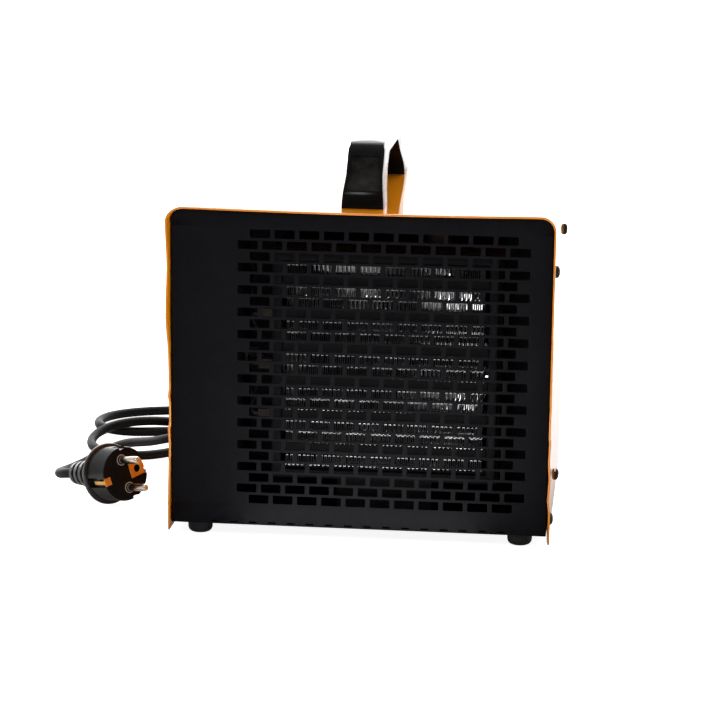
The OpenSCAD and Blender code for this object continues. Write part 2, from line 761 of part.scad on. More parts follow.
module control_nuts() {
  color("silver") for (z = [thermostat_z, switch_z]) difference() {
    translate([control_x, rear_y, z]) rotate([-90, 0, 0]) cylinder(r = 7.5, h = 2.5, $fn = 6);
    rod_y(bush_r + fit, rear_y - 1, rear_y + 4, control_x, z);
  }
}

block_at = [control_x - 4.5, -10, floor_z];
earth_y = rear_y - foot_inset - 13;

module terminal_block() {
  color("whitesmoke") translate(block_at) difference() {
    union() {
      block([-12, -18, 0], [12, 18, 8]);
      for (i = [-1, 0, 1]) block([-8, 11 * i - 4.5, 8], [8, 11 * i + 4.5, 17]);
    }
    for (i = [-1, 0, 1], s = [-1, 1]) translate([s * 4.5, 11 * i, 12]) cylinder(r = 2, h = 6);
  }
}

module earth_stud() {
  color("goldenrod") translate([control_x, earth_y, 0]) {
    translate([0, 0, base_z]) mirror([0, 0, 1]) screw(panel_t + 12, screw_r, 3.6, 2);
    translate([0, 0, floor_z + seat]) difference() {
      cylinder(r = 4, h = 3, $fn = 6);
      translate([0, 0, -1]) cylinder(r = screw_hole_r, h = 5);
    }
  }
}

// Insulated wires inside the body, each along its own few points
function wire_runs() = let (
  g1 = [divider_x, grommet_places[0][0], grommet_places[0][1]],
  g2 = [divider_x, grommet_places[1][0], grommet_places[1][1]],
  tab = [air_x - frame_x - 9.3, frame_y0 + 2.4, ptc_z],
  sw = [control_x, rear_y - panel_t - seat - 30.2, switch_z],
  th = [control_x, rear_y - panel_t - seat - 24.2, thermostat_z],
  tb = block_at + [0, 0, 12.5], coil = [air_x - 15.3, stack_y0 + 11, ptc_z - 46])
  [
    [tab + [0, 0, 32], tab + [-4, 0, 32], tab + [-6, 12, 26], g1 + [14, -2, 4], g1 + [7, 0, 2.2],
      g1 + [0, 0, 2.2], g1 + [-7, 0, 2.2], sw + [5, -24, 12], sw + [4, -8, 10], sw + [4, 0, 10]],
    [tab, tab + [-4, 0, 0], tab + [-6, 14, 0], g1 + [14, 0, -1], g1 + [7, 2, -1.2], g1 + [0, 2, -1.2],
      g1 + [-7, 2, -1.2], sw + [0, -24, 2], sw + [0, -8, 1], sw + [0, 0, 1]],
    [tab - [0, 0, 32], tab + [-4, 0, -32], tab + [-6, 12, -26], g1 + [14, -4, -4],
      g1 + [7, -2, -1.2], g1 + [0, -2, -1.2], g1 + [-7, -2, -1.2], sw + [-5, -24, -8],
      sw + [-4, -8, -9], sw + [-4, 0, -9]],
    [coil, coil + [-5, 0, 0], coil + [-12, 3, -3], coil + [-40, 12, -12], g2 + [16, 0, 0],
      g2 + [6, 0, 0], g2 + [-6, 0, 0],
      [control_x + 5, 24, 58], sw + [8, -16, -14], sw + [8, -8, -14], sw + [8, 0, -14]],
    [tb + [8.4, 11, 0], tb + [12, 11, 0], tb + [15, 14, 12], tb + [16, 16, 40], sw + [10, -24, -4],
      sw + [10, -8, -2], sw + [10, 0, -2]],
    [tb + [8.4, 0, 0], tb + [12, 0, 0], tb + [15, 0, 12], tb + [16, 4, 50], th + [8, -34, -18],
      th + [8, -8, 0], th + [8, 0, 0]],
    [sw + [-10, 0, 8], sw + [-10, -8, 8], sw + [-10, -18, 26], th + [-8, -18, -10],
      th + [-8, -8, 0], th + [-8, 0, 0]],
    [[gland_x - 2.2, rear_y - 9.9, gland_z], [gland_x - 2.2, rear_y - 16, gland_z],
      [gland_x - 6, 44, 31], tb + [-13, 34, 8], tb + [-14, 15, 1], tb + [-12, 11, 0],
      tb + [-8.4, 11, 0]],
    [[gland_x + 2.2, rear_y - 9.9, gland_z - 1.4], [gland_x + 2.2, rear_y - 16, gland_z - 1.4],
      [gland_x + 3, 50, 26], tb + [4, 32, 3], tb + [2, 22, 0], tb + [2, 18, 0], tb + [2, 15.8, 0]]
  ];

module wiring() {
  color("red") for (w = wire_runs()) tube(smooth(w, 2), core_r, 6);
}

module cable_gland() {
  color("black") difference() {
    union() {
      rod_y(gland_r, rear_y - 9, rear_y + 0.5, gland_x, gland_z);
      rod_y(gland_r + 3, rear_y + 0.05, rear_y + 3, gland_x, gland_z);
      translate([gland_x, rear_y - panel_t - 5, gland_z]) rotate([-90, 0, 0])
        cylinder(r = gland_r + 3.5, h = 4.9, $fn = 6);
    }
    rod_y(lead_r + 0.1, rear_y - 10, rear_y + 4, gland_x, gland_z);
  }
}

module strain_relief() {
  y0 = rear_y + 3;
  n = 5;
  step = (relief_end - y0 - 4) / n;
  color("black") {
    for (i = [0 : n - 1]) translate([gland_x, y0 + 3 + i * step, gland_z]) rotate([-90, 0, 0]) {
      cylinder(r = 6.9 - 0.42 * i, h = step - 1.4);
      cylinder(r = lead_r + 0.6, h = step);
    }
    rod_y(lead_r, rear_y - 9.5, y0 + 1, gland_x, gland_z);
    rod_y(gland_r - 1, y0, y0 + 3, gland_x, gland_z);
    rod_y(lead_r + 0.6, relief_end - 1.2, relief_end, gland_x, gland_z);
  }
}

module mains_lead() {
  color([0.12, 0.12, 0.12]) tube(smooth(lead_route, lead_steps), lead_r, 8);
}

// Everything on the plug is drawn along +X from the flange and then laid down
module in_plug() {
  translate(plug_at) rotate([0, 0, plug_turn]) rotate([0, -plug_lift, 0]) rotate([plug_roll, 0, 0])
    children();
}

module round_x(r1, r2, x0, x1) {
  translate([x0, 0, 0]) rotate([0, 90, 0]) cylinder(r1 = r1, r2 = r2, h = x1 - x0);
}

clip_w = 6;
plug_body_r = 17.7;

module plug_body() {
  color([0.12, 0.12, 0.12]) in_plug() difference() {
    union() {
      round_x(plug_r, plug_r, -2, 1.6);
      round_x(plug_body_r, plug_body_r, 0, plug_face);
      round_x(10.6, 16.5, -12, -2);
      for (i = [0 : 3]) round_x(9.4 - 0.7 * i, 10 - 0.7 * i, -17.6 - 6 * i, -13.4 - 6 * i);
      round_x(lead_r + 1.6, 8.4, -neck_l, -12);
    }
    for (s = [-1, 1]) {
      translate([0, 0, 0]) block([1.6, s * (plug_body_r - 1) - 1.6, -clip_w / 2 - 0.4],
        [plug_face + 1, s * (plug_body_r - 1) + 1.6, clip_w / 2 + 0.4]);
      translate([0, 0, s * pin_gap / 2]) rotate([0, 90, 0]) cylinder(r = pin_r + 0.3, h = plug_face + 5);
    }
    translate([plug_face - 15, 10.2, 0]) rotate([0, 90, 0]) cylinder(r = 2.6, h = 20);
    block([plug_face - 2, 5.2, -5.4], [plug_face + 1, 20, 5.4]);
  }
}

module plug_pins() {
  color("goldenrod") in_plug() for (s = [-1, 1]) translate([0, 0, s * pin_gap / 2])
    rotate([0, 90, 0]) rotate_extrude() polygon(concat([[0, 1], [pin_r - 0.3, 1]],
      [[pin_r - 0.3, plug_face - 0.2], [pin_r, plug_face - 0.2], [pin_r, plug_face + pin_l - 1.6]],
      arc_points([pin_r - 1.6, plug_face + pin_l - 1.6], 1.6, 0, 90, 4), [[0, plug_face + pin_l]]));
}

module plug_earth() {
  color("goldenrod") in_plug() {
    difference() {
      block([plug_face - 1.8, 5.6, -5], [plug_face - 0.4, 15.2, 5]);
      translate([0, 10.2, 0]) rotate([0, 90, 0]) cylinder(r = 2.4, h = 40);
    }
    for (s = [-1, 1]) block([1.8, s * (plug_body_r - 1.4) - 0.5, -clip_w / 2],
      [plug_face - 2.2, s * (plug_body_r - 1.4) + 0.5, clip_w / 2]);
  }
}

casing();
front_and_base();
rear_panel();
divider();
fan_plate();
air_duct();
duct_bracket();
handle();
handle_screws();
casing_screws();
rear_screws();
feet();
foot_screws();
ptc_frame();
ptc_bars();
ptc_fins();
ptc_terminals();
thermal_cutout();
motor_bracket();
motor_stator();
motor_coil();
motor_front_bearing();
motor_rear_bearing();
motor_screws();
motor_rotor();
fan_blade();
thermostat();
thermostat_spindle();
thermostat_knob();
mode_switch();
switch_spindle();
switch_knob();
control_nuts();
terminal_block();
earth_stud();
grommets();
wiring();
cable_gland();
strain_relief();
mains_lead();
plug_body();
plug_pins();
plug_earth();
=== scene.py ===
import math
import random

import bmesh
import bpy
from mathutils import Matrix, Vector


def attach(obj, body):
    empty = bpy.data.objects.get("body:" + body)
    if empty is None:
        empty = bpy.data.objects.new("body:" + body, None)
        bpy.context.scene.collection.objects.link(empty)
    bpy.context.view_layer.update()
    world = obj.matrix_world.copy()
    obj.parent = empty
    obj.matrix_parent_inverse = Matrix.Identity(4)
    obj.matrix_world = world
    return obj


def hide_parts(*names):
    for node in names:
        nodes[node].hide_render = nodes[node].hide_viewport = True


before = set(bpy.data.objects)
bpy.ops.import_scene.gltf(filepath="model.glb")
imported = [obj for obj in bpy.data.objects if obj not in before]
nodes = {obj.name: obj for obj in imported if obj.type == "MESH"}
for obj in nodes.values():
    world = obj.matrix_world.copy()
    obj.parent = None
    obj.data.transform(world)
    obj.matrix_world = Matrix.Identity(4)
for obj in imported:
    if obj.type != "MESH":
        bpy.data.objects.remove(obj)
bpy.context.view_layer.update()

scene = bpy.context.scene
mm = 0.001


# helpers for working as by hand
def clearSelection():
    if bpy.context.object and bpy.context.object.mode != "OBJECT":
        bpy.ops.object.mode_set(mode="OBJECT")
    bpy.ops.object.select_all(action="DESELECT")


def pick(piece, *others):
    clearSelection()
    for one in (piece, *others):
        one.select_set(True)
    bpy.context.view_layer.objects.active = piece


def newest(name):
    piece = bpy.context.object
    piece.name = name
    piece.data.name = name
    return piece


def edit(piece, kind="FACE"):
    if bpy.context.object != piece or piece.mode != "EDIT":
        pick(piece)
        bpy.ops.object.mode_set(mode="EDIT")
    bpy.ops.mesh.select_mode(type=kind)
    bpy.ops.mesh.select_all(action="DESELECT")
    return bmesh.from_edit_mesh(piece.data)


def done(piece):
    bpy.ops.object.mode_set(mode="OBJECT")
    return piece


def choose(piece, kind, wanted):
    shape = edit(piece, kind)
    for part in {"FACE": shape.faces, "EDGE": shape.edges, "VERT": shape.verts}[kind]:
        if wanted(part):
            part.select_set(True)
    bmesh.update_edit_mesh(piece.data)


def chooseFaces(piece, wanted):
    # wanted looks at a face's middle (mm) and normal
    choose(piece, "FACE", lambda face: wanted(face.calc_center_median() / mm, face.normal))


def chooseEdges(piece, wanted):
    # wanted looks at both ends of an edge (mm)
    choose(piece, "EDGE", lambda edge: wanted(edge.verts[0].co / mm, edge.verts[1].co / mm))


def choosePoints(piece, wanted):
    choose(piece, "VERT", lambda point: wanted(point.co / mm))


def chooseAll(piece, kind="FACE"):
    edit(piece, kind)
    bpy.ops.mesh.select_all(action="SELECT")


def near(value, target, reach=0.05):
    return abs(value - target) < reach


def slide(x=0, y=0, z=0):
    bpy.ops.transform.translate(value=(x * mm, y * mm, z * mm))


def pullOut(x=0, y=0, z=0):
    bpy.ops.mesh.extrude_region_move(TRANSFORM_OT_translate={"value": (x * mm, y * mm, z * mm)})


def cutAt(piece, normal, at):
    # new points all round the piece, on the plane that stands at that distance along the normal
    chooseAll(piece)
    bpy.ops.mesh.bisect(plane_co=Vector(normal) * at * mm, plane_no=normal)


def merge(piece, reach=0.01):
    # points closer than reach (mm) become one
    chooseAll(piece)
    bpy.ops.mesh.remove_doubles(threshold=reach * mm)


def startBox(name, low, high):
    clearSelection()
    low, high = Vector(low) * mm, Vector(high) * mm
    bpy.ops.mesh.primitive_cube_add(size=1, location=(low + high) / 2)
    piece = newest(name)
    piece.scale = high - low
    settle(piece)
    return piece


def startSheet(name, middle, size, turn=(0, 0, 0)):
    # a flat sheet, its middle and size in metres
    clearSelection()
    bpy.ops.mesh.primitive_plane_add(size=1, location=middle, rotation=[math.radians(a) for a in turn])
    piece = newest(name)
    piece.scale = (*size, 1)
    settle(piece)
    return piece


def settle(piece):
    pick(piece)
    bpy.ops.object.transform_apply(location=True, rotation=True, scale=True)


def modify(piece, kind, **values):
    pick(piece)
    bpy.ops.object.modifier_add(type=kind)
    modifier = piece.modifiers[-1]
    for key, value in values.items():
        setattr(modifier, key, value)
    bpy.ops.object.modifier_apply(modifier=modifier.name)


def roundEdges(piece, width, steps=2, angle=35):
    modify(piece, "BEVEL", width=width * mm, segments=steps, limit_method="ANGLE",
           angle_limit=math.radians(angle), miter_outer="MITER_ARC", harden_normals=False)


def smooth(piece, angle=35):
    pick(piece)
    bpy.ops.object.shade_smooth_by_angle(angle=math.radians(angle))


def facesOutwards(piece):
    merge(piece)
    bpy.ops.mesh.normals_make_consistent(inside=False)
    done(piece)


def turned(name, rings, sides=48, closed=True):
    # a round piece along +Z from rings of (height, radius) in mm
    clearSelection()
    height, radius = rings[0]
    bpy.ops.mesh.primitive_circle_add(vertices=sides, radius=radius * mm, location=(0, 0, height * mm))
    piece = newest(name)
    settle(piece)
    chooseAll(piece, "EDGE")
    if closed:
        bpy.ops.mesh.edge_face_add()
        if height < rings[1][0]:
            bpy.ops.mesh.flip_normals()
        bpy.ops.mesh.select_all(action="SELECT")
    for (below, before), (above, after) in zip(rings, rings[1:]):
        bpy.ops.mesh.extrude_edges_move(TRANSFORM_OT_translate={"value": (0, 0, (above - below) * mm)})
        grow = after / before
        bpy.ops.transform.resize(value=(grow, grow, 1), center_override=(0, 0, above * mm))
    if closed:
        bpy.ops.mesh.edge_face_add()
    done(piece)
    facesOutwards(piece)
    return piece


def place(piece, seat):
    piece.matrix_world = seat
    bpy.context.view_layer.update()
    settle(piece)


def moved(x, y, z):
    return Matrix.Translation(Vector((x, y, z)) * mm)


def spun(angle, axis):
    return Matrix.Rotation(math.radians(angle), 4, axis)


def alongY(x, y, z):
    # +Z of the piece comes to point along +Y
    return moved(x, y, z) @ spun(-90, "X")


def copyOf(piece, name):
    pick(piece)
    bpy.ops.object.duplicate()
    return newest(name)


def joinAll(pieces, name):
    pick(*pieces)
    if len(pieces) > 1:
        bpy.ops.object.join()
    return newest(name)


def setOut(pattern, name, seats, keep=False):
    # a copy of the pattern at each seat, all joined
    made = []
    for number, seat in enumerate(seats):
        one = copyOf(pattern, f"{name}_{number}")
        place(one, seat)
        made.append(one)
    if not keep:
        bpy.data.objects.remove(pattern)
    return joinAll(made, name)


def solidCopy(node, name):
    # a CAD solid's own shape as a clean mesh, to be finished by hand
    piece = bpy.data.objects.new(name, nodes[node].data.copy())
    scene.collection.objects.link(piece)
    merge(piece)
    bpy.ops.mesh.dissolve_limited(angle_limit=math.radians(0.4))
    return done(piece)


def hollow(piece, cutter, join=False):
    modify(piece, "BOOLEAN", object=cutter, operation="UNION" if join else "DIFFERENCE", solver="EXACT")
    bpy.data.objects.remove(cutter)


def printed(text, size, name):
    # flat lettering on the XY plane, facing +Z
    clearSelection()
    bpy.ops.object.text_add()
    words = bpy.context.object
    words.data.body = text
    words.data.size = size * mm
    words.data.align_x = "CENTER"
    words.data.align_y = "CENTER"
    words.data.extrude = 0.04 * mm
    words.data.resolution_u = 4
    bpy.ops.object.convert(target="MESH")
    return newest(name)


def paint(piece, *finishNames):
    piece.data.materials.clear()
    for name in finishNames:
        piece.data.materials.append(materials[name])


def repaint(piece, faces):
    # the chosen faces take the piece's second finish
    chooseFaces(piece, faces)
    piece.active_material_index = 1
    bpy.ops.object.material_slot_assign()


def finishPiece(piece, finish=None, node=None, angle=None, body="heater"):
    # smoothed up to the angle, painted, attached to its body, and the CAD node that it replaces hidden
    if angle:
        smooth(piece, angle)
    if finish:
        paint(piece, finish)
    settle(piece)
    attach(piece, body)
    if node:
        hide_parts(node)


# camera, as the photograph's: a long lens from the right, above and in front
view = {"place": (0.1633, -1.7231, 0.4633), "yaw": 0.10038, "pitch": 0.21021, "roll": 0.01369,
        "lens": 135.0, "sensor": 36.0, "clip": 0.05}


def makeCamera():
    clearSelection()
    bpy.ops.object.camera_add(location=view["place"])
    camera = bpy.context.object
    camera.data.lens = view["lens"]
    camera.data.sensor_width = view["sensor"]
    camera.data.clip_start = view["clip"]
    camera.matrix_world = (Matrix.Translation(view["place"]) @ Matrix.Rotation(view["yaw"], 4, "Z")
                           @ Matrix.Rotation(math.pi / 2 - view["pitch"], 4, "X")
                           @ Matrix.Rotation(view["roll"], 4, "Z"))
    scene.camera = camera


makeCamera()
print("camera set")


# node groups that the materials share
def addNode(tree, kind, values=None, links=None, **settings):
    node = tree.nodes.new(kind)
    for key, value in settings.items():
        setattr(node, key, value)
    for key, value in (values or {}).items():
        node.inputs[key].default_value = value
    for key, source in (links or {}).items():
        tree.links.new(source, node.inputs[key])
    return node


def newGroup(name, inputs, outputs):
    group = bpy.data.node_groups.new(name, "ShaderNodeTree")
    for label, value in inputs.items():
        socket = group.interface.new_socket(name=label, in_out="INPUT", socket_type="NodeSocketFloat")
        socket.default_value = value
    for label, kind in outputs.items():
        group.interface.new_socket(name=label, in_out="OUTPUT", socket_type=kind)
    inlet = addNode(group, "NodeGroupInput").outputs
    outlet = addNode(group, "NodeGroupOutput").inputs
    where = addNode(group, "ShaderNodeTexCoord").outputs["Object"]
    return group, inlet, outlet, where


def noise(tree, where, scale, detail, rough=0.5):
    return addNode(tree, "ShaderNodeTexNoise", {"Detail": detail, "Roughness": rough},
                   {"Vector": where, "Scale": scale}).outputs["Fac"]


def ranged(tree, value, fromLow, fromHigh, toLow=0.0, toHigh=1.0):
    return addNode(tree, "ShaderNodeMapRange",
                   {"From Min": fromLow, "From Max": fromHigh, "To Min": toLow, "To Max": toHigh},
                   {"Value": value}).outputs["Result"]


def times(tree, first, second):
    product = addNode(tree, "ShaderNodeMath", operation="MULTIPLY", links={0: first, 1: second})
    return product.outputs["Value"]


def buildGrain():
    # fine even grain of a moulding or a coating over broad waves, as a bumped normal and a mask
    group, inlet, outlet, where = newGroup(
        "coatGrain", {"Size": 900.0, "Depth": 0.1, "Waves": 40.0, "Sway": 0.1},
        {"Normal": "NodeSocketVector", "Mask": "NodeSocketFloat"})
    fine = noise(group, where, inlet["Size"], 3.0, 0.6)
    broad = noise(group, where, inlet["Waves"], 2.0)
    sway = addNode(group, "ShaderNodeBump", {"Distance": 0.002},
                   {"Height": broad, "Strength": inlet["Sway"]})
    bump = addNode(group, "ShaderNodeBump", {"Distance": 0.0004},
                   {"Height": fine, "Strength": inlet["Depth"], "Normal": sway.outputs["Normal"]})
    group.links.new(bump.outputs["Normal"], outlet["Normal"])
    group.links.new(fine, outlet["Mask"])
    return group


def buildDust():
    # settled dust: more on faces that look up, broken by noise
    group, inlet, outlet, where = newGroup("settledDust", {"Amount": 0.3, "Size": 60.0},
                                           {"Mask": "NodeSocketFloat"})
    normal = addNode(group, "ShaderNodeNewGeometry").outputs["Normal"]
    facing = addNode(group, "ShaderNodeSeparateXYZ", links={"Vector": normal})
    upward = ranged(group, facing.outputs["Z"], -0.2, 1.0, 0.25)
    patch = ranged(group, noise(group, where, inlet["Size"], 6.0, 0.65), 0.42, 0.75)
    group.links.new(times(group, times(group, upward, patch), inlet["Amount"]), outlet["Mask"])
    return group


def buildRubbing():
    # long thin rub marks along one way, as a mask
    group, inlet, outlet, where = newGroup("rubMarks", {"Size": 60.0, "Thin": 12.0, "Amount": 0.4},
                                           {"Mask": "NodeSocketFloat"})
    stretch = addNode(group, "ShaderNodeCombineXYZ", {"X": 1.0, "Y": 1.0}, {"Z": inlet["Thin"]})
    drawn = addNode(group, "ShaderNodeVectorMath", operation="MULTIPLY",
                    links={0: where, 1: stretch.outputs["Vector"]})
    lines = noise(group, drawn.outputs["Vector"], inlet["Size"], 4.0, 0.7)
    group.links.new(times(group, ranged(group, lines, 0.55, 0.8), inlet["Amount"]), outlet["Mask"])
    return group


grainGroup = buildGrain()
dustGroup = buildDust()
rubGroup = buildRubbing()


def mixed(tree, first, second, share):
    # a second colour laid over the first by a mask
    blend = addNode(tree, "ShaderNodeMix", {7: (*second, 1)}, {0: share}, data_type="RGBA")
    if isinstance(first, tuple):
        blend.inputs[6].default_value = (*first, 1)
    else:
        tree.links.new(first, blend.inputs[6])
    return blend.outputs[2]


plainLook = {"dust": 0.1, "dustColour": (0.4, 0.38, 0.35), "rub": 0.2, "rubThin": 12.0, "markSize": 60.0,
             "rubbed": 0.25, "grain": 0.1, "grainSize": 900.0, "waves": 30.0, "sway": 0.05,
             "metal": 0.0, "shine": 0.5, "coat": 0.0, "coatRough": 0.05, "ior": 1.5}


def surface(name, colour, second, rough, changes):
    # one finish: two close colours under dust and rub marks, grain as bump
    look = {**plainLook, **changes}
    material = bpy.data.materials.new(name)
    material.use_nodes = True
    tree = material.node_tree
    shader = tree.nodes["Principled BSDF"]
    dust = addNode(tree, "ShaderNodeGroup", node_tree=dustGroup)
    rub = addNode(tree, "ShaderNodeGroup", node_tree=rubGroup)
    grain = addNode(tree, "ShaderNodeGroup", node_tree=grainGroup)
    for node, sockets in (
            (dust, {"Amount": "dust", "Size": "markSize"}),
            (rub, {"Amount": "rub", "Size": "markSize", "Thin": "rubThin"}),
            (grain, {"Size": "grainSize", "Depth": "grain", "Waves": "waves", "Sway": "sway"}),
            (shader, {"Metallic": "metal", "Specular IOR Level": "shine", "Coat Weight": "coat",
                      "Coat Roughness": "coatRough", "IOR": "ior"})):
        for socket, key in sockets.items():
            node.inputs[socket].default_value = look[key]
    clean = mixed(tree, colour, second, grain.outputs["Mask"])
    dusty = mixed(tree, clean, look["dustColour"], dust.outputs["Mask"])
    worn = ranged(tree, rub.outputs["Mask"], 0.0, 1.0, rough, min(1.0, rough + look["rubbed"]))
    tree.links.new(dusty, shader.inputs["Base Color"])
    tree.links.new(worn, shader.inputs["Roughness"])
    tree.links.new(grain.outputs["Normal"], shader.inputs["Normal"])
    return material


# each finish: colour, second colour, roughness, and what differs from the plain look
finishes = {
    "casingEnamel": ((0.79, 0.25, 0.006), (0.75, 0.235, 0.005), 0.35,
                     {"coat": 1.0, "coatRough": 0.04, "grainSize": 260.0, "grain": 0.008, "waves": 9.0,
                      "sway": 0.02, "dust": 0.03, "shine": 0.0}),
    "panelCoat": ((0.0026, 0.0025, 0.0037), (0.004, 0.0038, 0.0054), 0.48,
                  {"shine": 0.07, "grainSize": 1400.0, "grain": 0.18, "waves": 10.0, "dust": 0.01,
                   "rub": 0.15}),
    # painted shade: the galvanised sheets inside the chassis are near black, so the chamber behind the
    # slots reads dark
    "paintedShadeSheet": ((0.008, 0.008, 0.01), (0.012, 0.012, 0.014), 0.6, {"shine": 0.1, "dust": 0.0}),
    # painted shade: the brass terminals behind the slots are near black, as dark as the shade they stand
    # in
    "terminalShadeBrass": ((0.02, 0.015, 0.01), (0.014, 0.01, 0.007), 0.6, {"metal": 0.6}),
    "collarGrey": ((0.42, 0.42, 0.4), (0.3, 0.3, 0.29), 0.3, {}),
    "printIvory": ((0.72, 0.71, 0.66), (0.6, 0.59, 0.55), 0.5, {"grain": 0.05}),
    "zincSheet": ((0.3, 0.3, 0.305), (0.2, 0.205, 0.21), 0.45,
                  {"metal": 1.0, "grainSize": 160.0, "grain": 0.06, "rub": 0.4}),
    "handleGloss": ((0.004, 0.0038, 0.004), (0.0055, 0.005, 0.0052), 0.18,
                    {"shine": 0.12, "grainSize": 1200.0, "grain": 0.03, "waves": 40.0, "sway": 0.03,
                     "dust": 0.02, "rub": 0.3}),
    # partly painted shade: a duller finish that darkens the throat under the grip and the recess floors
    "handleDullPaintedShade": ((0.004, 0.0035, 0.0035), (0.006, 0.005, 0.005), 0.5, {"shine": 0.05, "grain": 0.2}),
    "brightZinc": ((0.6, 0.6, 0.58), (0.45, 0.45, 0.43), 0.3, {"metal": 1.0, "rub": 0.4}),
    "darkScrew": ((0.022, 0.021, 0.02), (0.014, 0.013, 0.013), 0.5,
                  {"metal": 0.1, "shine": 0.15, "dust": 0.05, "rub": 0.3}),
    "footRubber": ((0.008, 0.008, 0.009), (0.013, 0.013, 0.014), 0.6,
                   {"shine": 0.3, "grainSize": 1500.0, "grain": 0.3, "dust": 0.06}),
    "heatPlastic": ((0.005, 0.005, 0.006), (0.008, 0.008, 0.009), 0.6,
                    {"shine": 0.07, "grain": 0.2, "dust": 0.0}),
    # the heating bars are near black with a slight gloss
    "barNearBlack": ((0.003, 0.003, 0.0038), (0.006, 0.006, 0.007), 0.5, {"shine": 0.06, "dust": 0.0}),
    # painted shade: the strips' flanks are near-black metal, as dark as the shade between the folds
    "finFlankPaintedShade": ((0.01, 0.01, 0.01), (0.035, 0.035, 0.035), 0.34,
                 {"metal": 1.0, "grainSize": 60.0, "grain": 0.2, "rub": 0.3}),
    # painted highlight: the crests' metal mixes near black with near white in patches that stand in for
    # glints
    "finCrestPaintedGlint": ((0.03, 0.03, 0.03), (0.95, 0.95, 0.95), 0.25, {"metal": 0.8, "grainSize": 45.0}),
    "brass": ((0.9, 0.55, 0.16), (0.8, 0.45, 0.11), 0.32, {"metal": 1.0, "rub": 0.5}),
    "nickel": ((0.86, 0.82, 0.74), (0.74, 0.7, 0.6), 0.18, {"metal": 1.0, "rub": 0.5}),
    "phenolic": ((0.03, 0.014, 0.008), (0.02, 0.009, 0.005), 0.5, {}),
    "coreSteel": ((0.16, 0.16, 0.17), (0.1, 0.1, 0.105), 0.5,
                  {"metal": 0.8, "rubThin": 60.0, "rub": 0.6}),
    "coilTape": ((0.35, 0.2, 0.06), (0.22, 0.12, 0.04), 0.45, {"coat": 0.3}),
    "groundSteel": ((0.5, 0.5, 0.51), (0.4, 0.4, 0.41), 0.28, {"metal": 1.0, "rub": 0.4}),
    "bladeMetal": ((0.68, 0.68, 0.68), (0.5, 0.5, 0.5), 0.35, {"metal": 1.0, "rub": 0.4}),
    "ivory": ((0.68, 0.62, 0.5), (0.6, 0.54, 0.43), 0.4, {}),
    "knobSatin": ((0.012, 0.012, 0.013), (0.018, 0.018, 0.02), 0.36,
                  {"shine": 0.4, "grainSize": 1600.0, "grain": 0.15, "dust": 0.05}),
    "wireSleeve": ((0.012, 0.012, 0.012), (0.02, 0.02, 0.02), 0.5, {"shine": 0.3}),
    "leadSheath": ((0.004, 0.004, 0.0045), (0.006, 0.006, 0.0065), 0.45,
                   {"shine": 0.11, "grainSize": 1200.0, "grain": 0.12, "dust": 0.02, "rub": 0.3}),
    "plugRubber": ((0.004, 0.004, 0.0045), (0.006, 0.006, 0.006), 0.26,
                   {"shine": 0.6, "grainSize": 1200.0, "grain": 0.12, "dust": 0.02, "rub": 0.1}),
    "plugFace": ((0.004, 0.0035, 0.0035), (0.007, 0.006, 0.006), 0.55,
                 {"shine": 0.08, "grainSize": 1200.0, "grain": 0.2, "dust": 0.01}),
}
materials = {name: surface(name, *look) for name, look in finishes.items()}
print("finishes mixed:", len(materials))


# mains lead, on the route that the solids follow (mm)
lead = {"width": 6.6, "steps": 6, "length": 1.4988}
plug = {"place": (-170.8, -36.1, 19.8), "turn": -42.5, "lift": 11.0, "roll": 12.0, "neck": 36.0,
        "rim": 20.0, "body": 17.7, "face": 18.7, "pin": 2.4, "pinLength": 18.4, "pinGap": 19.0}
plugAhead = Vector((math.cos(math.radians(plug["turn"])) * math.cos(math.radians(plug["lift"])),
                    math.sin(math.radians(plug["turn"])) * math.cos(math.radians(plug["lift"])),
                    math.sin(math.radians(plug["lift"]))))
neckEnd = Vector(plug["place"]) - plug["neck"] * plugAhead
leadRoute = [
    (-96, 107, 32), (-96, 114, 32), (-96, 121, 32), (-96, 139, 29.5), (-99, 160, 24.5),
    (-108, 181, 19), (-121, 199, 13), (-139, 213, 8), (-160, 219, 4), (-180, 217, 3.5),
    (-200, 209, 3.5), (-215, 196, 3.5), (-222, 176, 3.5), (-214, 155, 3.5), (-193, 145, 3.5),
    (-171, 151, 3.5), (-148, 156, 3.5), (-120, 160, 3.5), (-88, 163, 3.5), (-58, 164, 3.5),
    (-27, 162, 3.5), (-4, 171.5, 3.5), (5.5, 194.5, 3.5), (-4, 217.5, 3.5), (-27, 227, 3.5),
    (-52, 221, 3.5), (-80, 208, 3.5), (-108, 191, 3.5), (-132, 176, 4.5), (-152, 165, 7),
    (-170, 157, 10), (-187, 149, 11.2), (-203, 139, 9.8), (-213, 125, 6), (-213, 107, 3.5),
    (-202, 86, 3.5), (-184, 76, 3.5), (-164, 79, 3.5), (-150, 94, 3.5), (-137, 108, 3.5),
    (-117, 117, 3.5), (-87, 119, 3.5), (-45, 119, 3.5), (-5, 118, 3.5), (38, 116, 3.5),
    (61, 125, 3.5), (70.5, 147.5, 3.5), (61, 170, 3.5), (38, 179, 3.5), (17, 172, 3.5),
    (-3, 162, 3.5), (-26, 155, 3.5), (-55, 153, 3.5), (-90, 152, 3.5), (-122, 149, 3.5),
    (-148, 143, 3.5), (-162, 131, 3.5), (-170, 115, 4.5), (-177, 97, 8.5), (-184, 78, 11.8),
    (-194.5, 61, 9), (-204.5, 45, 5), (-212.5, 29.5, 4), (-215.3, 16.8, 5.4), (-212.6, 5, 7.8),
    tuple(neckEnd - 14 * plugAhead), tuple(neckEnd - 7 * plugAhead), tuple(neckEnd)]


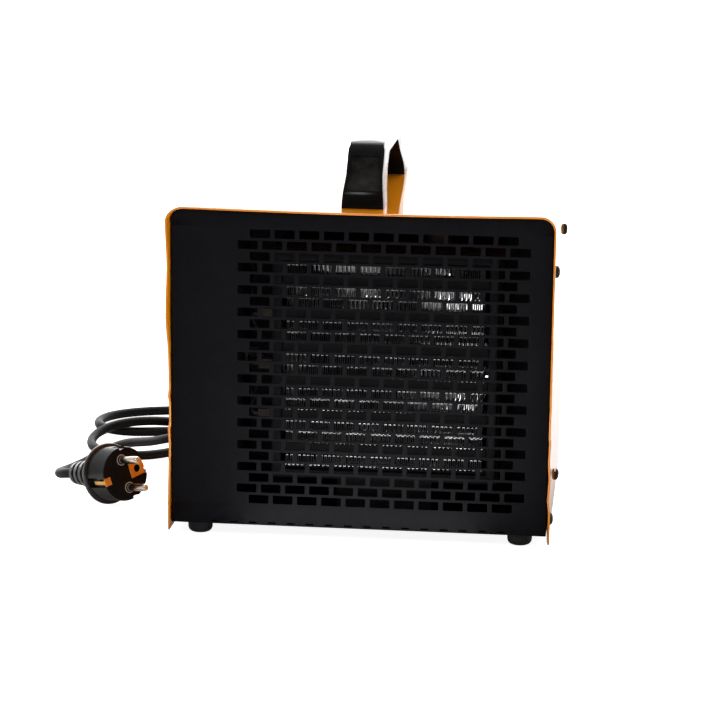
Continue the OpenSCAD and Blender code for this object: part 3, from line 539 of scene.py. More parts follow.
def smoothLine(points, steps):
    # a curve that passes smoothly along the points, as a uniform B-spline does
    points = [Vector(p) for p in points]
    guide = [2 * points[0] - points[1], *points, 2 * points[-1] - points[-2]]
    line = []
    for a, b, c, d in zip(guide, guide[1:], guide[2:], guide[3:]):
        for step in range(steps):
            t = step / steps
            line.append(((1 - t) ** 3 * a + (3 * t ** 3 - 6 * t ** 2 + 4) * b
                         + (-3 * t ** 3 + 3 * t ** 2 + 3 * t + 1) * c + t ** 3 * d) / 6)
    line.append(points[-1])
    return line


def makeLead():
    line = smoothLine(leadRoute, lead["steps"])
    data = bpy.data.curves.new("mains_cord", "CURVE")
    data.dimensions = "3D"
    spline = data.splines.new("POLY")
    spline.points.add(len(line) - 1)
    for point, p in zip(spline.points, line):
        point.co = (*(p * mm), 1)
    data.bevel_depth = lead["width"] / 2 * mm
    data.bevel_resolution = 4
    data.use_fill_caps = True
    spline.use_smooth = True
    piece = bpy.data.objects.new("mains_cord", data)
    scene.collection.objects.link(piece)
    data.materials.append(materials["leadSheath"])
    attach(piece, "heater")
    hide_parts("mains_lead")
    return piece


cord = makeLead()
print("mains lead laid")


# casing: one folded sheet, with the pulled and pressed front edge of the photographed one
casing = {"half": 119.0, "low": 4.0, "high": 209.0, "front": -108.87, "back": 109.0, "sheet": 1.2,
          "rim": 0.3, "bend": 9.5, "bendSteps": 10, "sag": 1.0, "sagHalf": 106.0, "flare": 1.9,
          "columns": range(-100, 101, 20),
          # height: how far the edge stands out (mm)
          "leftWave": {190: 1.6, 180: 1.05, 171: 0.8, 160: 1.1, 150: 1.5, 139: 1.6, 129: 0.8, 120: 0.0,
                       108: -0.4, 96: -0.7, 85: -0.9, 71: -0.9, 58: -0.75, 45: -0.4, 32: -0.1},
          "rightWave": {90: 0.15, 70: 0.4, 45: 0.7, 25: 0.9, 4: 1.0},
          # place along Y: share of it that is left there
          "outReach": {-109: 1.0, -107: 0.85, -105: 0.62, -102: 0.3, -98: 0.06},
          "inReach": {-109: 1.0, -107: 0.6, -105: 0.2},
          "sagReach": {-109: 1.0, -107: 0.99, -105: 0.98, -102: 0.97, -98: 0.96, -85: 0.92, -70: 0.87,
                       -50: 0.79, -20: 0.6, 20: 0.33, 60: 0.08, 90: 0.0}}


def pushEdge(shell, row, reach, amount):
    for y, share in reach.items():
        choosePoints(shell, lambda p: row(p) and near(p.y, y, 0.4))
        slide(x=amount * share)


def makeCasing():
    c = casing
    half, bend, high = c["half"], c["bend"], c["high"]
    shell = startBox("casing_shell", (-half, c["front"], c["low"]), (half, c["back"], high))
    chooseFaces(shell, lambda p, n: abs(n.y) > 0.5 or n.z < -0.5)
    bpy.ops.mesh.delete(type="FACE")
    chooseEdges(shell, lambda a, b: min(a.z, b.z) > high - 1 and near(a.x, b.x, 1))
    bpy.ops.mesh.bevel(offset=bend * mm, segments=c["bendSteps"], affect="EDGES")
    for y in list(c["sagReach"])[1:]:
        cutAt(shell, (0, 1, 0), y)
    for z in sorted({z for z in (*c["leftWave"], *c["rightWave"]) if z > c["low"]}):
        cutAt(shell, (0, 0, 1), z)
    for x in c["columns"]:
        cutAt(shell, (1, 0, 0), x)
    for z, amount in c["leftWave"].items():
        reach = c["outReach"] if amount > 0 else c["inReach"]
        pushEdge(shell, lambda p: p.x < 1 - half and near(p.z, z, 0.4), reach, -amount)
    for z, amount in c["rightWave"].items():
        pushEdge(shell, lambda p: p.x > half - 1 and near(p.z, z, 0.4), c["outReach"], amount)
    for step in range(c["bendSteps"]):
        # the flare dies away round the left bend
        angle = math.radians(90 * step / c["bendSteps"])
        x, z = -(half - bend) - bend * math.cos(angle), high - bend + bend * math.sin(angle)
        pushEdge(shell, lambda p: near(p.x, x, 0.4) and near(p.z, z, 0.4), c["outReach"],
                 -c["flare"] * math.cos(angle))
    for x in c["columns"]:
        for y, share in c["sagReach"].items():
            choosePoints(shell, lambda p: p.z > high - 0.2 and near(p.x, x, 0.4) and near(p.y, y, 0.4))
            slide(z=-c["sag"] * share * (1 - (x / c["sagHalf"]) ** 2))
    done(shell)
    modify(shell, "SOLIDIFY", thickness=c["sheet"] * mm, offset=-1, use_even_offset=True)
    roundEdges(shell, c["rim"], 2, 50)
    finishPiece(shell, "casingEnamel", "casing", 40)


# slotted sheets of the chassis: one cell of the grille, repeated, then folded round the body
grille = {"x": 13.75, "z": 109.0, "pitch": 15.22, "row": 7.0, "slotWide": 12.4, "slotHigh": 5.4,
          "inset": 0.5, "corner": 0.6, "frontRowsCols": (25, 12), "rearRowsCols": (19, 10)}
chassis = {"half": 117.5, "low": 8.0, "high": 207.4, "front": -104.5, "rear": 77.0, "corner": 8.0,
           "sheet": 1.0, "fold": 1.0, "flange": 12.0, "sideFlange": 14.0, "sideLow": 21.0,
           "baseEnd": 75.9, "lip": 16.0, "rim": 0.18, "topSag": 0.94,
           # round holes: x, z and radius
           "lipHoles": [(-96.0, 32.0, 13.0)],
           "rearHoles": [(-97.0, 152.0, 4.8), (-97.0, 100.0, 4.8), (-96.0, 32.0, 8.3), (-62.0, 17.0, 2.1),
                         (70.0, 17.0, 2.1)]}
dash = {"count": 16, "pitch": 12.0, "wide": 5.0, "low": 9.3, "high": 10.3}


def sheetCell(name, left, low, wide, slotted=True):
    g = grille
    middle = Vector((left + wide / 2, 0, low + g["row"] / 2)) * mm
    cell = startSheet(name, middle, (wide * mm, g["row"] * mm), (90, 0, 0))
    if slotted:
        chooseAll(cell)
        bpy.ops.mesh.inset(thickness=g["inset"] * mm)
        bpy.ops.transform.resize(value=(g["slotWide"] / (wide - 2 * g["inset"]), 1,
                                        g["slotHigh"] / (g["row"] - 2 * g["inset"])),
                                 center_override=middle)
        bpy.ops.mesh.bevel(offset=g["corner"] * mm, segments=3, affect="VERTICES")
        chooseFaces(cell, lambda p, n: (p - middle / mm).length < 0.5)
        bpy.ops.mesh.delete(type="FACE")
        # the next row's cells meet this one's long edges in their middle
        chooseEdges(cell, lambda a, b: near(a.z, b.z, 0.01)
                    and near(abs(a.z - middle.z / mm), g["row"] / 2, 0.01))
        bpy.ops.mesh.subdivide(number_cuts=1)
    return done(cell)


def repeated(piece, count, x=0, z=0):
    modify(piece, "ARRAY", count=count, use_relative_offset=False, use_constant_offset=True,
           constant_offset_displace=(x * mm, 0, z * mm))
    return piece


def slotField(name, rows, cols):
    # short rows stand half a pitch in, with a blank half cell at each end
    pitch, row = grille["pitch"], grille["row"]
    left, low = grille["x"] - cols * pitch / 2, grille["z"] - rows * row / 2
    half = pitch / 2
    shortRow = repeated(sheetCell("short_row", left + half, low, pitch), cols - 1, x=pitch)
    ends = (left, left + (2 * cols - 1) * half)
    blanks = [sheetCell("blank", start, low, half, slotted=False) for start in ends]
    shortRows = repeated(joinAll([shortRow, *blanks], "short_rows"), (rows + 1) // 2, z=2 * row)
    longRow = repeated(sheetCell("long_rows", left, low + row, pitch), cols, x=pitch)
    sheet = joinAll([shortRows, repeated(longRow, rows // 2, z=2 * row)], name)
    merge(sheet, 0.02)
    return done(sheet), left, left + cols * pitch, low, low + rows * row


def levelEdge(a, b, z):
    return near(a.z, z) and near(b.z, z)


def sideEdge(a, b, x):
    # the straight stretch of a side, which carries a flange
    c = chassis
    return (near(a.x, x) and near(b.x, x) and min(a.z, b.z) > c["sideLow"]
            and max(a.z, b.z) < c["high"] - c["corner"] - 0.5)


def slottedPanel(name, rows, cols):
    # the flat front of a panel at Y = 0, out to its edges, with two round top corners
    c = chassis
    sheet, left, right, low, high = slotField(name, rows, cols)
    for edge, target in ((left, -c["half"]), (right, c["half"])):
        chooseEdges(sheet, lambda a, b: near(a.x, edge) and near(b.x, edge))
        pullOut(x=target - edge)
    for edge, target in ((low, c["low"]), (high, c["high"])):
        chooseEdges(sheet, lambda a, b: levelEdge(a, b, edge))
        pullOut(z=target - edge)
    choosePoints(sheet, lambda p: p.z > c["high"] - 1 and abs(p.x) > c["half"] - 1)
    bpy.ops.mesh.bevel(offset=c["corner"] * mm, segments=6, affect="VERTICES")
    return done(sheet)


def foldBack(sheet, ahead):
    # top and side flanges; ahead is +1 where the body lies behind the sheet, -1 in front of it
    c = chassis
    chooseEdges(sheet, lambda a, b: levelEdge(a, b, c["high"]))
    pullOut(y=ahead * c["flange"])
    for x in (-c["half"], c["half"]):
        chooseEdges(sheet, lambda a, b: sideEdge(a, b, x))
        pullOut(y=ahead * c["sideFlange"])


def softenFolds(sheet):
    c = chassis
    chooseEdges(sheet, lambda a, b: near(a.y, 0) and near(b.y, 0)
                and (levelEdge(a, b, c["low"]) or levelEdge(a, b, c["high"])
                     or sideEdge(a, b, -c["half"]) or sideEdge(a, b, c["half"])))
    bpy.ops.mesh.bevel(offset=c["fold"] * mm, segments=3, affect="EDGES")
    done(sheet)


def pressTop(sheet, share):
    # the top edge lies under the sagging casing
    top = chassis["high"] - 1.5
    for x in {round(point.co.x / mm, 1) for point in sheet.data.vertices if point.co.z / mm > top}:
        choosePoints(sheet, lambda p: p.z > top and near(p.x, x, 0.06))
        slide(z=-casing["sag"] * share * max(0.0, 1 - (x / casing["sagHalf"]) ** 2))
    done(sheet)


def thicken(sheet, y):
    place(sheet, moved(0, y, 0))
    modify(sheet, "SOLIDIFY", thickness=chassis["sheet"] * mm, offset=-1, use_even_offset=True)


def dressSheet(sheet, node):
    roundEdges(sheet, chassis["rim"], 2, 50)
    finishPiece(sheet, "panelCoat", node, 30)


def drill(piece, radius, start, end, seat, sides=32):
    bit = turned("bit", [(start, radius), (end, radius)], sides)
    place(bit, seat)
    hollow(piece, bit)


def bored(sheet, holes, y):
    for x, z, radius in holes:
        drill(sheet, radius, -8, 8, alongY(x, y, z))


def makeFrontPanel():
    c = chassis
    sheet = slottedPanel("front_panel_and_base", *grille["frontRowsCols"])
    foldBack(sheet, 1)
    chooseEdges(sheet, lambda a, b: levelEdge(a, b, c["low"]))
    pullOut(y=c["baseEnd"] - c["front"])
    pullOut(z=c["lip"])
    softenFolds(sheet)
    pressTop(sheet, c["topSag"])
    thicken(sheet, c["front"])
    marks = []
    for number in range(dash["count"]):
        x = (number - (dash["count"] - 1) / 2) * dash["pitch"]
        marks.append(startBox("dash", (x - dash["wide"] / 2, c["front"] - 3.5, dash["low"]),
                              (x + dash["wide"] / 2, c["front"] + 4.5, dash["high"])))
    hollow(sheet, joinAll(marks, "dashes"))
    bored(sheet, c["lipHoles"], c["baseEnd"])
    dressSheet(sheet, "front_and_base")


def makeRearPanel():
    c = chassis
    sheet = slottedPanel("rear_grille_panel", *grille["rearRowsCols"])
    chooseAll(sheet)
    bpy.ops.mesh.flip_normals()
    foldBack(sheet, -1)
    softenFolds(sheet)
    thicken(sheet, c["rear"])
    bored(sheet, c["rearHoles"], c["rear"])
    dressSheet(sheet, "rear_panel")


# plain folded or moulded parts: the CAD shape with softened edges
softened = {"ptc_frame": ("heater_frame", "frame_plastic", "heatPlastic", 0.6),
            "cable_gland": ("lead_gland", "frame_plastic", "heatPlastic", 0.3),
            "control_nuts": ("control_lock_nuts", "zinc_screws", "brightZinc", 0.3),
            # painted shade: the divider is near black like the other sheets inside
            "divider": ("side_divider", "bare_sheet", "paintedShadeSheet", 0.2)}


def softenParts():
    for node, (name, slotName, finish, edge) in softened.items():
        piece = solidCopy(node, name)
        roundEdges(piece, edge, 2, 50)
        finishPiece(piece, finish, node, 30)


# handle: a moulding with softly rounded edges, its front foot set down on the sagging sheet
handle = {"middle": -1.0, "y": -2.8, "footTop": 209.0, "settle": 0.9, "round": 0.6, "top": 54.5,
          # the crown's corners: side, end and how far each is pushed out
          "crownEdge": 8.5, "crownRound": 2.9,
          "crownPush": ((-1, -1, 1.6), (-1, 1, 1.6), (1, -1, 1.0), (1, 1, 1.8)),
          # bands of points that are pushed: from, to, beyond, and their share
          "crownBands": ((245.0, 250.0, 8.5, 1.0), (240.0, 245.0, 9.5, 0.45)),
          # the slanted faces of the legs, up from their creases, and the recess in each
          "crease": (-86.2, 9.5), "slope": 48.0, "fill": ((-8.7, 3.4, -3), (8.7, 27.6, 0)),
          "recess": {"low": 0.9, "high": 27.0, "half": 10.2, "topHalf": 9.0, "deep": 1.3},
          "throatHalf": 66.0, "throatTop": 236.0}


def slopeSeat(turn):
    # frame of a leg's slanted face: X across, Y up the slope from the crease, Z out of it
    c = handle
    return (moved(c["middle"], c["y"], c["footTop"]) @ spun(turn, "Z") @ moved(0, *c["crease"])
            @ spun(c["slope"], "X"))


def sinkRecesses(grip):
    recess = handle["recess"]
    half, low, high = recess["half"], recess["low"], recess["high"]
    for turn in (0, 180):
        fill = startBox("fill", *handle["fill"])
        place(fill, slopeSeat(turn))
        hollow(grip, fill, join=True)
        cut = startBox("recess", (-half, low, -recess["deep"]), (half, high, 5))
        choosePoints(cut, lambda p: p.y > low + 1)
        bpy.ops.transform.resize(value=(recess["topHalf"] / half, 1, 1))
        done(cut)
        place(cut, slopeSeat(turn))
        hollow(grip, cut)


def widenCrown(grip):
    c = handle
    for side, end, push in c["crownPush"]:
        for low, high, edge, share in c["crownBands"]:
            choosePoints(grip, lambda p: low < p.z < high and side * (p.x - c["middle"]) > edge
                         and end * p.y > 0)
            slide(x=side * push * share)
    chooseEdges(grip, lambda a, b: min(a.z, b.z) > c["crownBands"][1][0] and near(a.z, b.z, 0.2)
                and min(abs(a.x - c["middle"]), abs(b.x - c["middle"])) > c["crownEdge"]
                and (a.x > 0) == (b.x > 0) and not near(a.y, b.y, 2))
    bpy.ops.mesh.bevel(offset=c["crownRound"] * mm, segments=5, affect="EDGES")
    done(grip)


def paintHandle(grip):
    # the throat under the grip and the recess floors take a duller finish: in part the mould's matt
    # texture, in part painted shade that darkens them where the grip and the recess walls shade them
    c = handle
    recess = c["recess"]
    paint(grip, "handleGloss", "handleDullPaintedShade")
    repaint(grip, lambda p, n: n.z < -0.25 or (abs(p.y) < c["throatHalf"] and p.z < c["throatTop"]
                                              and abs(n.x) < 0.3 and n.z < 0.3 and n.y * p.y < 0))
    for turn in (0, 180):
        away = slopeSeat(turn).inverted()

        def onFloor(p, n):
            spot = away @ (p * mm) / mm
            return (near(spot.z, -recess["deep"], 0.25) and abs(spot.x) < recess["half"]
                    and recess["low"] < spot.y < recess["high"])
        repaint(grip, onFloor)
    done(grip)


def makeHandle():
    c = handle
    grip = solidCopy("handle", "carrying_handle")
    sinkRecesses(grip)
    merge(grip)
    bpy.ops.mesh.dissolve_limited(angle_limit=math.radians(0.3))
    done(grip)
    widenCrown(grip)
    # the top's long strips end before the shoulders
    for y in (c["y"] - c["top"], c["y"] + c["top"]):
        cutAt(grip, (0, 1, 0), y)
    done(grip)
    roundEdges(grip, c["round"], 3, 28)
    choosePoints(grip, lambda p: p.z < c["footTop"] + 0.2 and p.y < 0)
    slide(z=-c["settle"])
    done(grip)
    paintHandle(grip)
    finishPiece(grip, None, "handle", 32)


# domed cross-head screws, all turned alike and driven to different angles
screw = {"shank": 1.8, "head": 3.8, "length": 6.0, "tip": 1.2,
         "dome": [(0.8, 3.8), (1.35, 3.55), (1.85, 3.0), (2.2, 2.2), (2.42, 1.2), (2.5, 0.4)],
         "crossLong": 4.4, "crossWide": 0.95, "crossLow": 1.1, "crossTaper": (0.45, 0.8, 1),
         # y and z on each side wall; the last one of the right wall stands askew
         "wall": ((-94.5, 173.3), (70.5, 173.3), (-94.5, 17.2), (17.5, 17.2)), "looseTilt": 6.5,
         "rear": ((-62, 77, 17), (70, 77, 17)),
         # how far the slots are turned: the first one, the next ones, each side, and the rear
         "turn": 23, "turnStep": 41, "turnSide": 17, "turnRear": 31}


def makeScrew():
    c = screw
    shank, head, long, wide = c["shank"], c["head"], c["crossLong"] / 2, c["crossWide"] / 2
    body = turned("screw_pattern", [(-c["length"], c["tip"]), (1 - c["length"], shank), (-0.01, shank),
                                    (0, head - 0.15), (0.15, head), *c["dome"]], 32)
    for turn in (0, 90):
        blade = startBox("blade", (-long, -wide, c["crossLow"]), (long, wide, 4))
        chooseFaces(blade, lambda p, n: n.z < -0.5)
        bpy.ops.transform.resize(value=c["crossTaper"])
        done(blade)
        place(blade, spun(turn, "Z"))
        hollow(body, blade)
    roundEdges(body, 0.1, 2, 40)
    smooth(body, 35)
    return body


def screwsAt(pattern, name, spots, finish, node):
    # spots are (x, y, z), the way the head looks, its turn and its tilt
    seats = []
    for spot, ahead, turn, tilt in spots:
        aim = Vector(ahead).to_track_quat("Z", "Y").to_matrix().to_4x4()
        seats.append(moved(*spot) @ aim @ spun(tilt, "X") @ spun(turn, "Z"))
    finishPiece(setOut(pattern, name, seats, keep=True), finish, node)


# rubber feet: a rim at the panel, a straight wall and a rounded sole with a screw well
foot = {"rings": [(8.0, 7.2), (7.85, 7.7), (7.4, 8.2), (6.9, 8.25), (6.2, 8.1), (5.8, 7.75), (3.4, 7.75),
                  (2.4, 7.6), (1.3, 7.1), (0.5, 6.3), (0.08, 5.4), (0.02, 4.6), (0.3, 4.1), (4.1, 3.9)],
        "spots": ((-100.9, -92.5), (-100.9, 65.0), (100.9, -92.5), (100.9, 65.0)), "wellTop": 4.1}


def makeScrews():
    c = screw
    pattern = makeScrew()
    walls = []
    last = len(c["wall"]) - 1
    for number, (y, z) in enumerate(c["wall"]):
        for side in (-1, 1):
            tilt = c["looseTilt"] if side > 0 and number == last else 0
            turn = c["turn"] + c["turnStep"] * number + c["turnSide"] * side
            walls.append(((side * casing["half"], y, z), (side, 0, 0), turn, tilt))
    rear = [(spot, (0, 1, 0), c["turnRear"] + spot[0], 0) for spot in c["rear"]]
    under = [((x, y, foot["wellTop"]), (0, 0, -1), x + 2 * y, 0) for x, y in foot["spots"]]
    screwsAt(pattern, "casing_cross_screws", walls, "darkScrew", "casing_screws")
    screwsAt(pattern, "rear_cross_screws", rear, "darkScrew", "rear_screws")
    screwsAt(pattern, "foot_cross_screws", under, "brightZinc", "foot_screws")
    bpy.data.objects.remove(pattern)


def makeFeet():
    pattern = turned("foot_pattern", foot["rings"], 40)
    smooth(pattern, 40)
    feet = setOut(pattern, "rubber_feet", [moved(x, y, 0) for x, y in foot["spots"]])
    finishPiece(feet, "footRubber", "feet")


# heating block: dark bars with folded strips of thin metal between them
block = {"x": 13.75, "z": 107.5, "front": -85.0, "deep": 15.0, "wide": 129.0, "bar": 7.5, "fin": 6.9,
         "bars": 6, "pitch": 21.4, "end": 2.0, "endAt": 65.2, "recess": 1.3, "sheet": 0.32,
         # the strips: length of a fold, its crest, how its bends roll in and out, and its uneven lean
         "fold": 2.7, "crest": 0.3, "rollIn": (0.3, 0.12), "rollOut": (0.18, 0.36), "lean": 0.2,
         "seed": 11, "tilt": 0.25}


def barHeight(number):
    return block["z"] + (number - (block["bars"] - 1) / 2) * block["pitch"]


def layer(name, z, high):
    c = block
    return startBox(name, (c["x"] - c["wide"] / 2, c["front"], z - high / 2),
                    (c["x"] + c["wide"] / 2, c["front"] + c["deep"], z + high / 2))


def makeBars():
    c = block
    made = []
    for number in range(c["bars"]):
        bar = layer(f"bar_{number}", barHeight(number), c["bar"])
        chooseFaces(bar, lambda p, n: abs(n.y) > 0.5)
        bpy.ops.mesh.inset(thickness=c["recess"] * mm)
        bpy.ops.transform.resize(value=(1, 1 - 1.0 / c["deep"], 1))
        made.append(done(bar))
    for side in (-1, 1):
        made.append(layer("end_plate", c["z"] + side * c["endAt"], c["end"]))
    whole = joinAll(made, "heating_bars")
    roundEdges(whole, 0.45, 2, 40)
    finishPiece(whole, "barNearBlack", "ptc_bars", 35)


def makeStrip(name, chance):
    # a folded strip along X, each fold a little off the last, its depth along Y
    c = block
    folds = int((c["wide"] - 4) // c["fold"])
    start = (-folds * c["fold"] / 2 * mm, 0, -c["fin"] / 2 * mm)
    strip = startSheet(name, start, (0, c["deep"] * mm))
    chooseAll(strip, "EDGE")
    bpy.ops.mesh.remove_doubles(threshold=0.01 * mm)
    bpy.ops.mesh.select_all(action="SELECT")
    rollIn, rollOut, onCrest = c["rollIn"], c["rollOut"], (c["crest"] / 2, 0)
    rise = c["fin"] - c["sheet"] - 2 * (rollIn[1] + rollOut[1])
    climb, lean = 1, 0.0
    for number in range(2 * folds):
        before, lean = lean, chance.uniform(-c["lean"], c["lean"])
        slope = c["fold"] / 2 - c["crest"] - 2 * (rollIn[0] + rollOut[0]) + lean - before
        for x, z in (onCrest, rollIn, rollOut, (slope, rise), rollOut, rollIn, onCrest):
            pullOut(x=x, z=climb * z)
        climb = -climb
    return done(strip)


def makeFins():
    c = block
    chance = random.Random(c["seed"])
    patterns = [makeStrip(f"fin_pattern_{number}", chance) for number in range(2)]
    made = []
    for number in range(c["bars"]):
        for side in (-1, 1):
            strip = copyOf(patterns[(number + (side > 0)) % 2], f"strip_{number}_{side}")
            z = barHeight(number) + side * (c["bar"] + c["fin"]) / 2
            place(strip, moved(c["x"], c["front"] + c["deep"] / 2, z)
                  @ spun(180 * (number % 2), "Z") @ spun(c["tilt"] * side, "Y"))
            made.append(strip)
    for pattern in patterns:
        bpy.data.objects.remove(pattern)
    whole = joinAll(made, "corrugated_fins")
    paint(whole, "finFlankPaintedShade", "finCrestPaintedGlint")
    # painted highlight and shade: the crests take a metal with bright patches that stand in for glints,
    # the flanks a near-black metal that stands in for the shade on them
    repaint(whole, lambda p, n: abs(n.z) > 0.4)
    done(whole)
    modify(whole, "SOLIDIFY", thickness=c["sheet"] * mm, offset=0)
    finishPiece(whole, None, "ptc_fins", 50)


# knobs: a numbered skirt, a ribbed grip and a line on top
knob = {"x": -97.0, "y": 81.0, "ribs": 18, "figure": 3.1, "figureAt": (0, 13.95, 3.86), "step": 45,
        "rings": [(0, 15.2), (0.3, 15.8), (0.8, 16), (2.6, 16), (3.3, 15.7), (3.7, 15.0), (4.0, 12.4),
                  (4.6, 11.7), (14.6, 11.2), (15.6, 10.6), (16.0, 9.6), (15.8, 8.4), (15.5, 1.0)],
        "rib": ((10.4, -0.75, 4.2), (12.5, 0.75, 14.9)), "ribTaper": (0.6, 0.7, 1),
        "line": ((-0.55, 4.5, 15.3), (0.55, 10.6, 15.98)), "arrow": ((-1.3, 17.6, 0), (1.3, 20.4, 0.06)),
        # height, body and figures
        "thermostat": (152.0, "thermostat_dial", "0123456"), "switch": (100.0, "switch_dial", "0123")}


def makeKnob(kind):
    c = knob
    z, body, figures = c[kind]
    shell = turned(f"{kind}_grip", c["rings"], 72)
    low, high = c["rib"]
    rib = startBox("rib", low, high)
    chooseFaces(rib, lambda p, n: n.z > 0.5)
    bpy.ops.transform.resize(value=c["ribTaper"], center_override=((low[0] + 0.2) * mm, 0, high[2] * mm))
    done(rib)
    roundEdges(rib, 0.45, 3, 40)
    turns = [360 * (number + 0.5) / c["ribs"] for number in range(c["ribs"])]
    ribs = setOut(rib, "ribs", [spun(turn, "Z") for turn in turns])
    # seen from behind: local +Z looks along +Y, and the mark for 0 stands at the top
    seat = alongY(c["x"], c["y"], z)
    whole = joinAll([shell, ribs], f"{kind}_knob_moulding")
    place(whole, seat)
    finishPiece(whole, "knobSatin", f"{kind}_knob", 35, body)
    line = startBox("line", *c["line"])
    roundEdges(line, 0.2, 2, 40)
    place(line, seat @ spun(180, "Z"))
    marks = [line]
    for number, word in enumerate(figures):
        # the skirt's figures pass the panel's mark one after another as the knob turns
        figure = printed(word, c["figure"], f"figure_{number}")
        place(figure, seat @ spun(180 + c["step"] * number, "Z") @ moved(*c["figureAt"]))
        marks.append(figure)
    finishPiece(joinAll(marks, f"{kind}_knob_marks"), "printIvory", body=body)
    low, high = c["arrow"]
    arrow = startBox(f"{kind}_panel_mark", low, high)
    choosePoints(arrow, lambda p: p.y < low[1] + 0.4)
    bpy.ops.transform.resize(value=(0.05, 1, 1), center_override=(0, low[1] * mm, 0))
    done(arrow)
    place(arrow, alongY(c["x"], chassis["rear"], z) @ spun(180, "Z"))
    finishPiece(arrow, "printIvory")


# boot over the lead where it leaves the rear panel
boot = {"place": (-96.0, 80.0, 32.0), "rings": [(0, 6.6), (0.4, 7.0), (2.6, 7.0), (3.0, 6.5), (3.2, 4.2)],
        "ribs": 5, "first": 3.2, "step": 4.6, "radius": 6.9, "fall": 0.42, "rib": 3.2, "groove": 4.1,
        "end": 27.0}


def makeBoot():
    c = boot
    rings = list(c["rings"])
    for number in range(c["ribs"]):
        start = c["first"] + number * c["step"]
        end = start + c["rib"]
        radius = c["radius"] - number * c["fall"]
        rings += [(start + 0.05, radius - 0.35), (start + 0.4, radius), (end - 0.4, radius - 0.1),
                  (end, radius - 0.5), (end + 0.1, c["groove"]), (start + c["step"] - 0.1, c["groove"])]
    rings += [(c["end"] - 0.4, 4.0), (c["end"], 3.6)]
    piece = turned("lead_boot", rings, 40)
    place(piece, alongY(*c["place"]))
    finishPiece(piece, "plugRubber", "strain_relief", 35)


# plug: ribbed neck, wide rim, round body with slots, two pins, a brass earth plate and a side clip
plugBody = {"ribs": 4, "ribBack": -17.6, "ribFront": -13.4, "ribStep": 6.0,
            "ribRadius": 10.0, "ribFall": 0.7,
            "shoulder": [(-12.0, 8.9), (-11.8, 10.2), (-11.2, 10.7), (-8.0, 12.6), (-3.4, 15.6),
                         (-2.2, 16.6)],
            "well": 3.3, "socket": (10.2, 2.6),
            # boxes cut out of it, X from the face
            "cuts": [((-17.0, -20, -3.3), (6.3, -15.2, 3.3)), ((-17.0, 15.2, -3.3), (6.3, 20, 3.3)),
                     ((-1.7, 3.6, -5.4), (6.3, 20, 5.4)), ((-1.2, -18.5, -3.1), (6.3, -11.2, 3.1)),
                     ((-8.2, 0.8, 15.9), (6.3, 5.6, 22)), ((-8.2, 0.8, -22), (6.3, 5.6, -15.9))]}
plugMetal = {"tip": ((-1.7, 0), (-0.9, -0.25), (-0.35, -0.75), (-0.05, -1.4), (0, -1.8)),
             "collar": ((-0.2, 2.95), (0.12, 3.05), (0.2, 3.3), (0.12, 3.6), (-0.2, 3.7)),
             "hole": (10.2, 2.4),
             # boxes, X from the face
             "plate": ((-1.5, 4.0, -5), (-0.3, 15.4, 5)),
             "strap": ((-11.1, -17.6, -1.2), (-0.2, -16.7, 1.2)),
             "tab": ((-0.2, -17.6, -2.6), (0.7, -12.6, 2.6)),
             "side_strap": ((-16.5, 16.0, -1.6), (-1.7, 16.8, 1.6))}


def plugSeat():
    c = plug
    return moved(*c["place"]) @ spun(c["turn"], "Z") @ spun(-c["lift"], "Y") @ spun(c["roll"], "X")


def aheadX(x=0, y=0, z=0):
    # a piece turned along +Z comes to lie along the plug's +X
    return moved(x, y, z) @ spun(90, "Y")


def faceBox(name, low, high):
    # a box whose X counts from the plug's face
    face = plug["face"]
    return startBox(name, (low[0] + face, *low[1:]), (high[0] + face, *high[1:]))


def makePlugBody():
    c = plug
    made = plugBody
    neck, rim, body, face = c["neck"], c["rim"], c["body"], c["face"]
    rings = [(-neck, 4.2), (0.3 - neck, 4.9), (0.4 - neck, 5.2)]
    for number in reversed(range(made["ribs"])):
        # the neck's ribs grow towards the body
        step = made["ribStep"] * number
        back, front = made["ribBack"] - step, made["ribFront"] - step
        radius = made["ribRadius"] - made["ribFall"] * number
        rings += [(back - 0.1, radius - 2.6), (back, radius - 1.1), (back + 0.5, radius - 0.55),
                  (front - 0.5, radius - 0.05), (front, radius - 0.5), (front + 0.1, radius - 1.9)]
    rings += [*made["shoulder"], (-2.1, rim - 1.4), (-1.6, rim - 0.4), (-0.8, rim), (0.6, rim),
              (1.3, rim - 0.3), (1.6, rim - 1.0), (1.7, body + 0.3), (2.2, body), (face - 1.0, body),
              (face - 0.3, body - 0.25), (face, body - 0.9), (face - 0.05, 12.0)]
    moulding = turned("plug_moulding", rings, 96)
    place(moulding, aheadX())
    for low, high in made["cuts"]:
        hollow(moulding, faceBox("cut", low, high))
    for side in (-1, 1):
        drill(moulding, made["well"], 0, 6, aheadX(face - 1.6, 0, side * c["pinGap"] / 2))
    y, radius = made["socket"]
    drill(moulding, radius, 0, 20, aheadX(3.7, y, 0))
    paint(moulding, "plugRubber", "plugFace")
    repaint(moulding, lambda p, n: n.x > 0.5 and p.x > 4)
    done(moulding)
    place(moulding, plugSeat())
    roundEdges(moulding, 0.25, 2, 50)
    finishPiece(moulding, None, "plug_body", 35)


